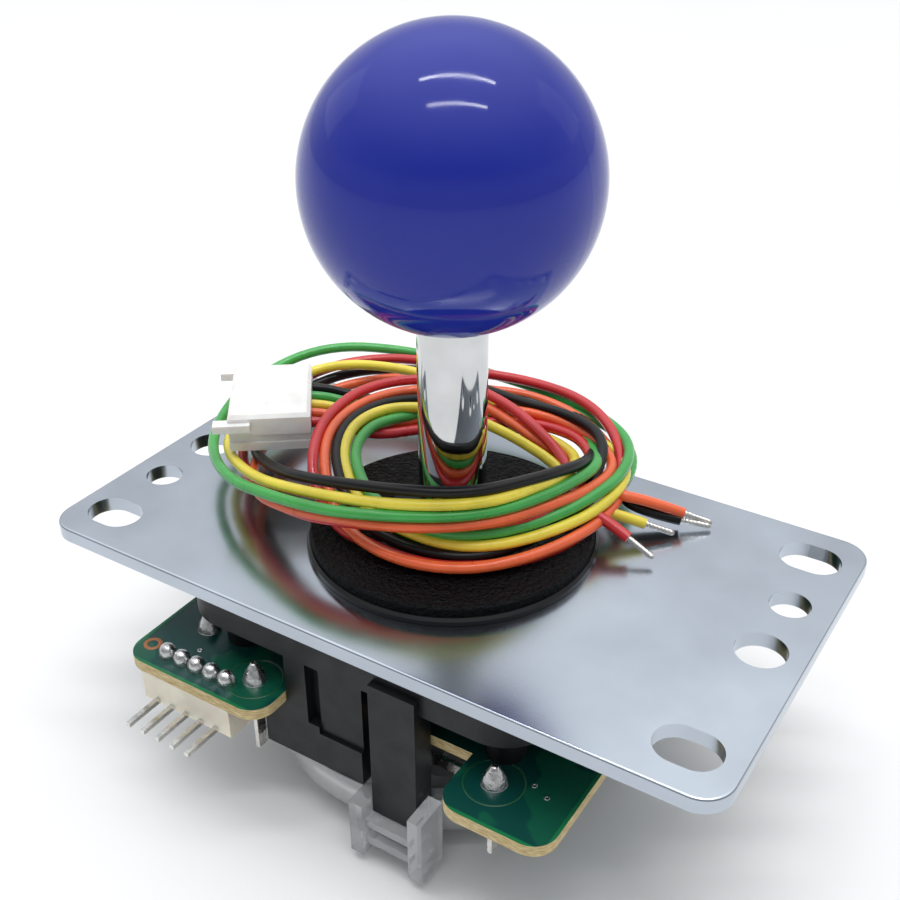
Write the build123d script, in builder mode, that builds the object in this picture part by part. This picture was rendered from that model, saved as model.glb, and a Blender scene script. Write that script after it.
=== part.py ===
from build123d import *
from math import cos, pi, radians, sin, sqrt, tan
import os

os.makedirs("parts", exist_ok=True)

# Arcade joystick lever for mounting under a panel, in millimetres.
# The origin is on the lever's axis at the top face of the mounting plate, +X along the
# plate's long side and +Z up towards the ball. The lever stands upright, at rest.

# Mounting plate, a zinc plated steel stamping with the same holes after half a turn
plate_length = 97.0
plate_width = 53.0
plate_thickness = 2.0
plate_corner_radius = 4.0
plate_edge_radius = 0.35
slot_edge_distance = 6.5
slot_length = 8.0
slot_width = 6.0
hole_edge_distance = 5.5
pilot_hole_y = 9.3
pilot_hole_diameter = 5.2
wide_hole_y = 0.8
wide_hole_diameter = 6.4
plate_opening_radius = 8.0

# Countersunk screws that hold the housing to the plate, hidden under the dust disc
screw_spacing = 18.1
screw_diameter = 3.0
screw_head_diameter = 5.6
screw_head_height = 1.5
screw_length = 8.0
screw_drive_width = 2.8
screw_drive_slot = 0.7
screw_drive_depth = 0.8
screw_clearance = 0.1
screw_boss_radius = 3.0
screw_boss_floor = 3.0

# Lever: the tilt in each direction, the ball pivot and the shaft
tilt_degrees = 9.0
pivot_height = -7.0
pivot_radius = 6.5
pivot_top_above_centre = 4.5
pivot_bottom_below_centre = 5.2
shaft_diameter = 8.8
journal_diameter = 6.0
stud_diameter = 6.0
stud_length = 11.0
shaft_tip_height = -31.0
tip_chamfer = 0.6
running_clearance = 0.05
socket_clearance = 0.15
moving_clearance = 0.3

# Ball top and its threaded insert
ball_diameter = 35.0
ball_centre_height = 48.2
ball_flat_radius = 5.6
insert_diameter = 10.0
insert_length = 14.0
insert_groove_depth = 0.5
insert_groove_width = 1.6
insert_groove_count = 2

# Dust disc and the ring that it slides on
dust_disc_diameter = 37.5
dust_disc_thickness = 1.3
dust_disc_rim_width = 8.6
dust_disc_step = 0.25
dust_ring_diameter = 38.6
dust_ring_thickness = 0.95
dust_ring_rim_chamfer = 0.35
slide_gap = 0.05
disc_bore_clearance = 0.5

# Housing, one black moulding with the socket for the pivot
housing_length = 52.0
housing_width = 52.0
housing_corner_radius = 6.5
flange_thickness = 4.0
socket_wall = 1.5
socket_lip_radius = 10.0
standoff_spacing = 40.0
standoff_radius = 2.5
leg_width = 11.5
leg_right_side = 3.0
leg_thickness = 3.2
leg_foot_width = 15.4
leg_bottom_height = -22.0
leg_slot_width = 1.7
leg_slot_left = -5.2
leg_slot_depth = 1.6
leg_slot_bottom = -15.5
leg_panel_depth = 0.5
leg_panel_bottom = -16.6
latch_left_side = 5.1
latch_width = 6.6
latch_thickness = 3.4
latch_proud = 1.0
latch_bottom_height = -24.5
latch_neck_thickness = 1.8
latch_tip_height = -30.6
hook_reach = 1.4
hook_land = 0.4
hook_clearance = 0.1
latch_root_height = -3.6

# Circuit board with its header
board_reach = 5.5
board_thickness = 1.6
board_drop = 6.0
board_corner_radius = 3.2
board_notch_left = -8.7
board_notch_right = 17.0
board_window = 29.0
board_gap = 0.2
header_pitch = 2.5
header_ways = 5
header_first_pin_inset = 5.5
header_row_inset = 2.8
header_length = 14.8
header_depth = 3.9
header_height = 4.6
header_pin_width = 0.64
header_hole_radius = 0.6
header_edge = 0.2
header_pin_reach = 5.6
header_pin_rise = 0.6
header_wall_below_pin = 0.35
joint_radius = 1.15
joint_height = 1.5
joint_top_radius = 0.35

# Snap action switches, one on each side of the actuator
switch_length = 19.8
switch_depth = 10.2
switch_height = 6.4
switch_leg_gap = 0.4
switch_edge = 0.4
switch_rivet_radius = 1.2
switch_rivet_spacing = 9.5
switch_rivet_inset = 6.8
switch_rivet_height = 0.3
plunger_width = 2.6
plunger_height = 2.2
plunger_travel = 0.6
plunger_inside = 3.0
plunger_clearance = 0.08
plunger_edge_radius = 0.3
contact_gap = 0.12
terminal_thickness = 0.6
terminal_height = 1.5
terminal_tail = 9.6
terminal_blade_width = 1.6
near_terminal_notch_gap = 4.7
near_terminal_inset = 5.3
near_terminal_branch = 6.8
far_terminal_notch_gap = 4.5
far_terminal_inset = 6.3
far_terminal_branch = 8.8
terminal_joint_radius = 1.7
terminal_joint_height = 2.6

# Actuator, spring, washer and retaining clip under the pivot
actuator_radius = 9.0
actuator_top_height = -15.0
actuator_floor_height = -23.0
actuator_bottom_height = -24.4
actuator_wall = 1.1
actuator_nose_radius = 6.0
actuator_nose_height = -29.0
actuator_edge = 0.4
seat_thickness = 0.95
seat_outer_radius = 7.4
seat_bottom_height = -14.6
seat_lip_depth = 0.5
spring_wire = 0.9
spring_mean_radius = 5.6
spring_turns = 5.0
washer_radius = 4.6
washer_thickness = 0.4
clip_radius = 4.9
clip_thickness = 0.6
clip_groove_radius = 2.4
clip_opening = 4.4
clip_gap = 0.1
clip_ring_width = 1.25
clip_lobe_width = 2.4

# Clear restrictor gate and the square dial inside it
gate_rim_reach = 0.2
gate_rim_height = 2.0
gate_wall = 2.0
gate_foot_inset = 5.7
gate_foot_height = -32.0
gate_belly_inset = 1.2
gate_belly_height = -28.6
gate_floor_thickness = 1.8
gate_hole_radius = 15.5
gate_post_inset = 2.5
gate_post_radius = 1.5
clip_frame_upright = 2.0
clip_frame_proud = 2.2
clip_frame_depth = 4.8
clip_frame_bottom = -30.6
clip_frame_ear_height = -20.4
clip_seat_gap = 0.1
clip_bar_height = 1.2
clip_bar_proud = 1.6
clip_bar_spacing = 2.9
dial_radius = 16.8
dial_thickness = 2.6
dial_corner_radius = 2.0
dial_clearance = 0.25
dial_notch_radius = 1.2
dial_notch_count = 8

# Loose cable: a plug, a coil of five wires that lies round the shaft, and five bare ends
wire_diameter = 1.5
core_diameter = 0.9
core_length = 4.2
bend_share = 0.45
lead_colours = ("red", "orange", "yellow", "green", "black")
lead_run = 4.5
lead_bend = 13.0
lead_drop = 1.6
coil_centre_x = -7.9
coil_centre_y = 6.25
coil_long_radius = 29.3
coil_short_radius = 24.5
coil_turn = 32.4
coil_hole_x = -2.2
coil_hole_y = 2.2
coil_hole_radius = 12.2
coil_height = 6.85
coil_edge_radius = 1.8
coil_top_edge_radius = 1.5
coil_corner_radius = 4.0
coil_lift = 0.4
plug_length = 11.2
plug_width = 15.5
plug_height = 5.4
plug_centre_x = -31.2
plug_centre_y = 1.7
plug_base_height = 7.0
plug_turn = 37.0
plug_pitch = 2.5
plug_edge = 0.5
plug_rib_length = 5.0
plug_rib_reach = 2.0
plug_rib_width = 0.9
plug_rib_height = 1.1
plug_rib_drop = 1.0
plug_groove_depth = 0.5
plug_groove_height = 1.2
plug_cavity = 1.9
plug_wire_depth = 1.5
plug_bed_clearance = 0.25
plug_terminal_length = 6.5
plug_terminal_width = 1.5

# Routes of the five tails that leave the coil, from inside it to the end of the insulation
tails = {
    "orange": ((16.8, 12.9, 5.2), (20.8, 15.6, 4.0), (25.1, 17.9, 2.2)),
    "black": ((15.8, 11.6, 3.8), (20.2, 14.4, 1.5), (24.6, 16.4, 1.0)),
    "yellow": ((14.6, 9.2, 4.3), (18.4, 11.2, 3.5), (21.8, 12.9, 2.2)),
    "red": ((14.4, 7.4, 5.6), (18.0, 8.4, 4.2), (21.6, 8.1, 2.7)),
    "green": ((-30.0, 15.0, 4.6), (-34.0, 16.6, 4.2), (-38.0, 16.4, 3.2)),
}

# Heights and places worked out from the sizes above
plate_bottom = -plate_thickness
flange_bottom = plate_bottom - flange_thickness
board_top = flange_bottom - board_drop
board_bottom = board_top - board_thickness
socket_radius = pivot_radius + socket_clearance
socket_outer_radius = socket_radius + socket_wall
seat_ride_radius = socket_outer_radius + socket_clearance
shaft_radius = shaft_diameter / 2
journal_radius = journal_diameter / 2
pivot_top = pivot_height + pivot_top_above_centre
tilt = radians(tilt_degrees)
diagonal_tilt_slope = sqrt(2) * tan(tilt)
ball_radius = ball_diameter / 2
ball_flat_height = ball_centre_height - sqrt(ball_radius**2 - ball_flat_radius**2)
dust_ring_bottom = slide_gap
dust_disc_bottom = dust_ring_bottom + dust_ring_thickness + slide_gap
dust_disc_top = dust_disc_bottom + dust_disc_thickness
shaft_throw_at_disc = (dust_disc_top - pivot_height) * tan(tilt)
switch_mid_height = board_bottom - switch_height / 2
slot_spacing_x = plate_length - 2 * slot_edge_distance
slot_spacing_y = plate_width - 2 * slot_edge_distance
hole_x = plate_length / 2 - hole_edge_distance
board_length = housing_length + 2 * board_reach
board_width = housing_width + 2 * board_reach
header_first_pin_x = -board_length / 2 + header_first_pin_inset
header_front_y = -board_width / 2
header_row_y = header_front_y + header_row_inset
leg_front = -housing_width / 2
latch_front = leg_front - latch_proud
switch_inner_face = -leg_front - leg_thickness - switch_leg_gap - switch_depth
near_terminal_x = board_notch_left - near_terminal_notch_gap
near_terminal_y = header_front_y + near_terminal_inset
near_terminal_branch_y = -switch_inner_face - near_terminal_branch
far_terminal_x = board_notch_right + far_terminal_notch_gap
far_terminal_y = header_front_y + far_terminal_inset
far_terminal_branch_y = -switch_inner_face - far_terminal_branch
gate_rim_radius = housing_width / 2 + gate_rim_reach
gate_foot_radius = gate_rim_radius - gate_foot_inset
gate_belly_radius = gate_rim_radius - gate_belly_inset
gate_post_spacing = standoff_spacing - 2 * gate_post_inset
clip_frame_front_y = latch_front - clip_frame_proud
clip_frame_back_y = clip_frame_front_y + clip_frame_depth
clip_bar_front_y = latch_front - clip_bar_proud
four_sides = (("front", 0), ("right", 90), ("back", 180), ("left", 270))


def turned(x, y, angle):
    """Turn a plan point about the lever's axis.

    Args:
        x: Place along X.
        y: Place along Y.
        angle: Turn in degrees, anticlockwise from above.

    Returns:
        The turned point as a pair.
    """
    a = radians(angle)
    return (x * cos(a) - y * sin(a), x * sin(a) + y * cos(a))


# Mounting plate: slots at the corners, then the round holes, and the opening for the lever
with BuildPart() as mounting_plate:
    with BuildSketch(Plane.XY.offset(plate_bottom)):
        RectangleRounded(plate_length, plate_width, plate_corner_radius)
        with GridLocations(slot_spacing_x, slot_spacing_y, 2, 2):
            SlotOverall(slot_length, slot_width, mode=Mode.SUBTRACT)
        with Locations((-hole_x, -pilot_hole_y), (hole_x, pilot_hole_y)):
            Circle(pilot_hole_diameter / 2, mode=Mode.SUBTRACT)
        with Locations((-hole_x, wide_hole_y), (hole_x, -wide_hole_y)):
            Circle(wide_hole_diameter / 2, mode=Mode.SUBTRACT)
        Circle(plate_opening_radius, mode=Mode.SUBTRACT)
    extrude(amount=plate_thickness)
    fillet(mounting_plate.faces().sort_by(Axis.Z)[-1].outer_wire().edges(), plate_edge_radius)
    with GridLocations(screw_spacing, screw_spacing, 2, 2):
        CounterSinkHole(
            screw_diameter / 2 + screw_clearance,
            screw_head_diameter / 2 + screw_clearance,
            depth=plate_thickness,
        )
mounting_plate.part.label = "mounting_plate"
export_step(mounting_plate.part, "parts/mounting_plate.step")

# Screws: countersunk heads with a cross recess, driven into the bosses of the housing
with BuildPart() as plate_screws:
    with BuildSketch(Plane.XZ) as screw_profile:
        with BuildLine():
            Polyline(
                (0, -slide_gap),
                (screw_head_diameter / 2, -slide_gap),
                (screw_diameter / 2, -slide_gap - screw_head_height),
                (screw_diameter / 2, -screw_length + screw_diameter / 4),
                (screw_diameter / 4, -screw_length),
                (0, -screw_length),
                close=True,
            )
        make_face()
    screw = revolve(axis=Axis.Z, mode=Mode.PRIVATE)
    with GridLocations(screw_spacing, screw_spacing, 2, 2):
        add(screw)
    with BuildSketch(Plane.XY.offset(-slide_gap)):
        with GridLocations(screw_spacing, screw_spacing, 2, 2):
            Rectangle(screw_drive_width, screw_drive_slot)
            Rectangle(screw_drive_slot, screw_drive_width)
    extrude(amount=-screw_drive_depth, mode=Mode.SUBTRACT)
plate_screws.part.label = "plate_screws"
export_step(plate_screws.part, "parts/plate_screws.step")

# Housing: a flange under the plate, the spherical socket, four standoffs over the board,
# and on the front and back a leg and a springy latch that reach down to the gate
socket_hole_radius = journal_radius + (socket_outer_radius + moving_clearance) * diagonal_tilt_slope
leg_left_side = leg_right_side - leg_width
leg_foot_left_side = leg_right_side - leg_foot_width
leg_panel_left = leg_slot_left + leg_slot_width
latch_back = latch_front + latch_thickness
latch_neck = latch_back - latch_neck_thickness
upper_bar_top = latch_bottom_height - clip_seat_gap
lower_bar_top = upper_bar_top - clip_bar_spacing
hook_top = lower_bar_top - clip_bar_height - hook_clearance
with BuildPart() as housing:
    with BuildSketch(Plane.XY.offset(flange_bottom)):
        RectangleRounded(housing_length, housing_width, housing_corner_radius)
    extrude(amount=flange_thickness)
    with BuildSketch(Plane.XY.offset(board_top)):
        with GridLocations(standoff_spacing, standoff_spacing, 2, 2):
            Circle(standoff_radius)
    extrude(until=Until.NEXT)
    with BuildSketch(Plane.XY.offset(-screw_length - screw_boss_floor)):
        with GridLocations(screw_spacing, screw_spacing, 2, 2):
            Circle(screw_boss_radius)
    extrude(until=Until.NEXT)
    with Locations((0, 0, pivot_height)):
        Sphere(socket_outer_radius)
    with BuildSketch(Plane.XY.offset(plate_bottom)):
        Circle(socket_lip_radius)
    extrude(amount=housing_width / 2, mode=Mode.SUBTRACT)
    for side_angle in (0, 180):
        with BuildSketch(Plane.XY.offset(board_bottom).rotated((0, 0, side_angle))):
            with Locations((leg_foot_left_side, leg_front)):
                Rectangle(leg_foot_width, leg_thickness, align=(Align.MIN, Align.MIN))
        extrude(amount=leg_bottom_height - board_bottom)
        with BuildSketch(Plane.XY.offset(flange_bottom).rotated((0, 0, side_angle))):
            with Locations((leg_left_side, leg_front)):
                Rectangle(leg_width, leg_thickness, align=(Align.MIN, Align.MIN))
        extrude(amount=board_bottom - flange_bottom)
        latch_plane = Plane(
            origin=turned(latch_left_side, 0, side_angle) + (0,),
            x_dir=turned(0, 1, side_angle) + (0,),
            z_dir=turned(1, 0, side_angle) + (0,),
        )
        with BuildSketch(latch_plane):
            with BuildLine():
                Polyline(
                    (latch_front, latch_root_height),
                    (latch_front, latch_bottom_height),
                    (latch_neck, latch_bottom_height),
                    (latch_neck, hook_top),
                    (latch_neck - hook_reach, hook_top),
                    (latch_neck - hook_reach, hook_top - hook_land),
                    (latch_neck, latch_tip_height),
                    (latch_back, latch_tip_height),
                    (latch_back, latch_root_height),
                    close=True,
                )
            make_face()
        extrude(amount=latch_width)
        with BuildSketch(Plane.XY.offset(leg_slot_bottom).rotated((0, 0, side_angle))):
            with Locations((leg_slot_left, leg_front)):
                Rectangle(leg_slot_width, leg_slot_depth, align=(Align.MIN, Align.MIN))
        extrude(amount=flange_bottom - leg_slot_bottom, mode=Mode.SUBTRACT)
        with BuildSketch(Plane.XY.offset(leg_panel_bottom).rotated((0, 0, side_angle))):
            with Locations((leg_panel_left, leg_front)):
                Rectangle(
                    leg_right_side - leg_panel_left, leg_panel_depth, align=(Align.MIN, Align.MIN)
                )
        extrude(amount=flange_bottom - leg_panel_bottom, mode=Mode.SUBTRACT)
    with Locations((0, 0, pivot_height)):
        Sphere(socket_radius, mode=Mode.SUBTRACT)
    with BuildSketch(Plane.XY.offset(pivot_height)):
        Circle(socket_radius)
    extrude(amount=-pivot_height, mode=Mode.SUBTRACT)
    with BuildSketch(Plane.XY.offset(pivot_height)):
        Circle(socket_hole_radius)
    extrude(amount=-2 * socket_outer_radius, mode=Mode.SUBTRACT)
    with Locations(Plane.XY.offset(plate_bottom)):
        with GridLocations(screw_spacing, screw_spacing, 2, 2):
            Hole(screw_diameter / 2 + screw_clearance, depth=screw_length)
housing.part.label = "housing"
export_step(housing.part, "parts/housing.step")

# Ball pivot: a sphere cut flat above and below, bored for the shaft's journal
with BuildPart() as pivot:
    with Locations((0, 0, pivot_height)):
        Sphere(pivot_radius)
    with BuildSketch(Plane.XY.offset(pivot_top)):
        Circle(2 * pivot_radius)
    extrude(amount=pivot_radius, mode=Mode.SUBTRACT)
    with BuildSketch(Plane.XY.offset(pivot_height - pivot_bottom_below_centre)):
        Circle(2 * pivot_radius)
    extrude(amount=-pivot_radius, mode=Mode.SUBTRACT)
    with Locations((0, 0, pivot_height)):
        Hole(journal_radius + running_clearance)
pivot.part.label = "pivot"
export_step(pivot.part, "parts/pivot.step")

# Upper spring seat: a dished ring that rides on the round underside of the socket
with BuildPart() as upper_spring_seat:
    with BuildSketch(Plane.XZ):
        with BuildLine():
            seat_inner_radius = socket_hole_radius
            seat_inner_top = pivot_height - sqrt(seat_ride_radius**2 - seat_inner_radius**2)
            seat_outer_top = pivot_height - sqrt(seat_ride_radius**2 - seat_outer_radius**2)
            RadiusArc(
                (seat_inner_radius, seat_inner_top),
                (seat_outer_radius, seat_outer_top),
                -seat_ride_radius,
            )
            Polyline(
                (seat_outer_radius, seat_outer_top),
                (seat_outer_radius, seat_bottom_height - seat_lip_depth),
                (seat_outer_radius - seat_thickness / 2, seat_bottom_height - seat_lip_depth),
                (seat_outer_radius - seat_thickness / 2, seat_bottom_height),
                (seat_inner_radius, seat_bottom_height),
                (seat_inner_radius, seat_inner_top),
            )
        make_face()
    revolve(axis=Axis.Z)
upper_spring_seat.part.label = "upper_spring_seat"
export_step(upper_spring_seat.part, "parts/upper_spring_seat.step")

# Centring spring: round wire wound between the seat and the floor of the actuator
spring_top = seat_bottom_height - slide_gap - spring_wire / 2
spring_bottom = actuator_floor_height + slide_gap + spring_wire / 2
spring_height = spring_top - spring_bottom
with BuildPart() as spring:
    with BuildLine():
        spring_path = Helix(
            pitch=spring_height / spring_turns,
            height=spring_height,
            radius=spring_mean_radius,
            center=(0, 0, spring_bottom),
        )
    with BuildSketch(Plane(spring_path @ 0, z_dir=spring_path % 0)):
        Circle(spring_wire / 2)
    sweep(is_frenet=True)
spring.part.label = "spring"
export_step(spring.part, "parts/spring.step")

# Actuator: a cup round the spring with a nose that runs in the square dial
with BuildPart() as actuator:
    with BuildSketch(Plane.XZ):
        with BuildLine():
            cup_inner_radius = actuator_radius - actuator_wall
            bore_radius = journal_radius + running_clearance
            Polyline(
                (bore_radius, actuator_floor_height),
                (cup_inner_radius, actuator_floor_height),
                (cup_inner_radius, actuator_top_height),
                (actuator_radius, actuator_top_height),
                (actuator_radius, actuator_bottom_height + actuator_edge),
                (actuator_radius - actuator_edge, actuator_bottom_height),
                (actuator_nose_radius, actuator_bottom_height),
                (actuator_nose_radius, actuator_nose_height + actuator_edge),
                (actuator_nose_radius - actuator_edge, actuator_nose_height),
                (bore_radius, actuator_nose_height),
                close=True,
            )
        make_face()
    revolve(axis=Axis.Z)
actuator.part.label = "actuator"
export_step(actuator.part, "parts/actuator.step")

# Washer under the actuator's nose
washer_top = actuator_nose_height - slide_gap
washer_bottom = washer_top - washer_thickness
with BuildPart() as washer:
    with BuildSketch(Plane.XY.offset(washer_bottom)):
        Circle(washer_radius)
        Circle(journal_radius + running_clearance, mode=Mode.SUBTRACT)
    extrude(amount=washer_thickness)
washer.part.label = "washer"
export_step(washer.part, "parts/washer.step")

# Shaft: the chromed grip, a journal below its shoulder, a groove and a stud for the ball
clip_top = washer_bottom - clip_gap
clip_bottom = clip_top - clip_thickness
with BuildPart() as shaft:
    with BuildSketch(Plane.XZ):
        with BuildLine():
            Polyline(
                (0, shaft_tip_height),
                (journal_radius - tip_chamfer, shaft_tip_height),
                (journal_radius, shaft_tip_height + tip_chamfer),
                (journal_radius, clip_bottom - slide_gap),
                (clip_groove_radius, clip_bottom - slide_gap),
                (clip_groove_radius, clip_top + slide_gap),
                (journal_radius, clip_top + slide_gap),
                (journal_radius, pivot_top + slide_gap),
                (shaft_radius, pivot_top + slide_gap),
                (shaft_radius, ball_flat_height - slide_gap),
                (stud_diameter / 2, ball_flat_height - slide_gap),
                (stud_diameter / 2, ball_flat_height + stud_length - tip_chamfer),
                (stud_diameter / 2 - tip_chamfer, ball_flat_height + stud_length),
                (0, ball_flat_height + stud_length),
                close=True,
            )
        make_face()
    revolve(axis=Axis.Z)
shaft.part.label = "shaft"
export_step(shaft.part, "parts/shaft.step")

# Retaining clip: an open ring with three inner lobes, sprung into the shaft's groove
with BuildPart() as e_clip:
    with BuildSketch(Plane.XY.offset(clip_bottom)):
        Circle(clip_radius)
        Circle(clip_radius - clip_ring_width, mode=Mode.SUBTRACT)
        with PolarLocations(clip_radius - clip_ring_width, 3, start_angle=30):
            Rectangle(clip_radius - clip_groove_radius, clip_lobe_width)
        Circle(clip_groove_radius + running_clearance, mode=Mode.SUBTRACT)
        with Locations((0, -clip_radius)):
            Rectangle(clip_opening, 2 * clip_radius - clip_groove_radius, mode=Mode.SUBTRACT)
    extrude(amount=clip_thickness)
e_clip.part.label = "e_clip"
export_step(e_clip.part, "parts/e_clip.step")

# Threaded insert pressed into the ball, with two grooves that hold it
insert_radius = insert_diameter / 2
insert_top = ball_flat_height + insert_length
with BuildPart() as ball_insert:
    with BuildSketch(Plane.XY.offset(ball_flat_height)):
        Circle(insert_radius)
        Circle(stud_diameter / 2 + running_clearance, mode=Mode.SUBTRACT)
    extrude(amount=insert_length)
    for groove in range(1, insert_groove_count + 1):
        groove_height = ball_flat_height + groove * insert_length / (insert_groove_count + 1)
        with BuildSketch(Plane.XY.offset(groove_height)):
            Circle(insert_radius)
            Circle(insert_radius - insert_groove_depth, mode=Mode.SUBTRACT)
        extrude(amount=insert_groove_width, mode=Mode.SUBTRACT)
ball_insert.part.label = "ball_insert"
export_step(ball_insert.part, "parts/ball_insert.step")

# Ball top: a sphere with a small flat round the insert's mouth
with BuildPart() as ball_top:
    with BuildSketch(Plane.XZ):
        with BuildLine():
            ThreePointArc(
                (ball_flat_radius, ball_flat_height),
                (ball_radius, ball_centre_height),
                (0, ball_centre_height + ball_radius),
            )
            Polyline(
                (0, ball_centre_height + ball_radius),
                (0, insert_top),
                (insert_radius, insert_top),
                (insert_radius, ball_flat_height),
                (ball_flat_radius, ball_flat_height),
            )
        make_face()
    revolve(axis=Axis.Z)
ball_top.part.label = "ball_top"
export_step(ball_top.part, "parts/ball_top.step")

# Dust ring: lies on the plate and covers its opening, with room for the lever's throw
dust_ring_bore = shaft_radius + shaft_throw_at_disc + disc_bore_clearance
with BuildPart() as dust_ring:
    with BuildSketch(Plane.XY.offset(dust_ring_bottom)):
        Circle(dust_ring_diameter / 2)
        Circle(dust_ring_bore, mode=Mode.SUBTRACT)
    extrude(amount=dust_ring_thickness)
    chamfer(
        dust_ring.faces().sort_by(Axis.Z)[-1].outer_wire().edges(), dust_ring_rim_chamfer
    )
dust_ring.part.label = "dust_ring"
export_step(dust_ring.part, "parts/dust_ring.step")

# Dust disc: slides on the ring with the shaft, with a raised grained band at its rim
with BuildPart() as dust_disc:
    with BuildSketch(Plane.XZ):
        with BuildLine():
            disc_radius = dust_disc_diameter / 2
            band_radius = disc_radius - dust_disc_rim_width
            Polyline(
                (shaft_radius + disc_bore_clearance, dust_disc_bottom),
                (disc_radius, dust_disc_bottom),
                (disc_radius, dust_disc_top - dust_disc_step),
                (disc_radius - dust_disc_step, dust_disc_top),
                (band_radius, dust_disc_top),
                (band_radius - dust_disc_step, dust_disc_top - dust_disc_step),
                (shaft_radius + disc_bore_clearance, dust_disc_top - dust_disc_step),
                close=True,
            )
        make_face()
    revolve(axis=Axis.Z)
dust_disc.part.label = "dust_disc"
export_step(dust_disc.part, "parts/dust_disc.step")

# Circuit board: square, with a window for the actuator and a notch at the front and back
# that the housing's leg and latch pass through
notch_width = board_notch_right - board_notch_left
notch_depth = board_width / 2 - housing_width / 2 + leg_thickness + board_gap
with BuildPart() as circuit_board:
    with BuildSketch(Plane.XY.offset(board_bottom)) as board_outline:
        Rectangle(board_length, board_width)
        with Locations((board_notch_left, -board_width / 2)):
            Rectangle(notch_width, notch_depth, align=(Align.MIN, Align.MIN), mode=Mode.SUBTRACT)
        with Locations((-board_notch_left, board_width / 2)):
            Rectangle(notch_width, notch_depth, align=(Align.MAX, Align.MAX), mode=Mode.SUBTRACT)
        outer_corners = board_outline.vertices().group_by(Axis.Y)
        fillet(outer_corners[0] + outer_corners[-1], board_corner_radius)
        RectangleRounded(board_window, board_window, board_corner_radius, mode=Mode.SUBTRACT)
        for side, side_angle in four_sides:
            with Locations(
                turned(near_terminal_x, near_terminal_y, side_angle),
                turned(far_terminal_x, far_terminal_y, side_angle),
            ):
                Circle(terminal_blade_width / 2 + board_gap, mode=Mode.SUBTRACT)
        for way in range(header_ways):
            with Locations((header_first_pin_x + way * header_pitch, header_row_y)):
                Circle(header_hole_radius, mode=Mode.SUBTRACT)
    extrude(amount=board_thickness)
circuit_board.part.label = "circuit_board"
export_step(circuit_board.part, "parts/circuit_board.step")

# Switches: a case with two rivets and an opening for its plunger, the plunger, and two
# terminals that branch from the ends of the case to the board
actuator_reach_x = actuator_radius / cos(tilt)
plunger_low_point = pivot_height - (switch_mid_height - plunger_height / 2)
actuator_reach = actuator_reach_x + plunger_low_point * tan(tilt) / cos(tilt)
plunger_tip = actuator_reach + contact_gap - plunger_travel
plunger_back = switch_inner_face + plunger_inside
for side, side_angle in four_sides:
    with BuildPart() as switch_case:
        with BuildSketch(Plane.XY.offset(board_bottom).rotated((0, 0, side_angle))):
            with Locations((0, -switch_inner_face - switch_depth / 2)):
                Rectangle(switch_length, switch_depth)
        extrude(amount=-switch_height)
        chamfer(switch_case.edges().group_by(Axis.Z)[0], switch_edge)
        with BuildSketch(
            Plane.XY.offset(board_bottom - switch_height).rotated((0, 0, side_angle))
        ):
            with Locations((0, -switch_inner_face - switch_rivet_inset)):
                with GridLocations(switch_rivet_spacing, 0, 2, 1):
                    Circle(switch_rivet_radius)
        extrude(amount=-switch_rivet_height)
        pocket_top = switch_mid_height + plunger_height / 2 + plunger_clearance
        with BuildSketch(Plane.XY.offset(pocket_top).rotated((0, 0, side_angle))):
            with Locations((0, -switch_inner_face)):
                Rectangle(
                    plunger_width + 2 * plunger_clearance,
                    plunger_inside + plunger_travel + moving_clearance,
                    align=(Align.CENTER, Align.MAX),
                )
        extrude(amount=-plunger_height - 2 * plunger_clearance, mode=Mode.SUBTRACT)
    switch_case.part.label = f"switch_case_{side}"
    export_step(switch_case.part, f"parts/switch_case_{side}.step")

    with BuildPart() as switch_plunger:
        with BuildSketch(
            Plane.XY.offset(switch_mid_height - plunger_height / 2).rotated((0, 0, side_angle))
        ):
            with Locations((0, -plunger_tip)):
                Rectangle(
                    plunger_width, plunger_back - plunger_tip, align=(Align.CENTER, Align.MAX)
                )
        extrude(amount=plunger_height)
        fillet(
            switch_plunger.faces().sort_by_distance((0, 0, switch_mid_height))[0].edges(),
            plunger_edge_radius,
        )
    switch_plunger.part.label = f"switch_plunger_{side}"
    export_step(switch_plunger.part, f"parts/switch_plunger_{side}.step")

    branch_base = board_bottom - switch_height / 2 - terminal_height
    blade_top = board_top + terminal_joint_height - terminal_thickness
    with BuildPart() as switch_terminals:
        with BuildSketch(Plane.XY.offset(branch_base).rotated((0, 0, side_angle))):
            for end_x, end_y, branch_y in (
                (near_terminal_x, near_terminal_y, near_terminal_branch_y),
                (far_terminal_x, far_terminal_y, far_terminal_branch_y),
            ):
                case_end = switch_length / 2 * (1 if end_x > 0 else -1)
                with Locations(((case_end + end_x) / 2, -abs(branch_y))):
                    Rectangle(abs(end_x - case_end) + terminal_thickness, terminal_thickness)
                with Locations((end_x, (branch_y + end_y) / 2)):
                    Rectangle(terminal_thickness, abs(branch_y - end_y))
            with Locations((0, -switch_inner_face - switch_depth / 2)):
                Rectangle(switch_length, switch_depth, mode=Mode.SUBTRACT)
        extrude(amount=terminal_height)
        with BuildSketch(
            Plane.XY.offset(board_bottom - terminal_tail).rotated((0, 0, side_angle))
        ):
            with Locations((near_terminal_x, near_terminal_y), (far_terminal_x, far_terminal_y)):
                Rectangle(terminal_thickness, terminal_blade_width)
        extrude(amount=blade_top - board_bottom + terminal_tail)
    switch_terminals.part.label = f"switch_terminals_{side}"
    export_step(switch_terminals.part, f"parts/switch_terminals_{side}.step")

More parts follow.
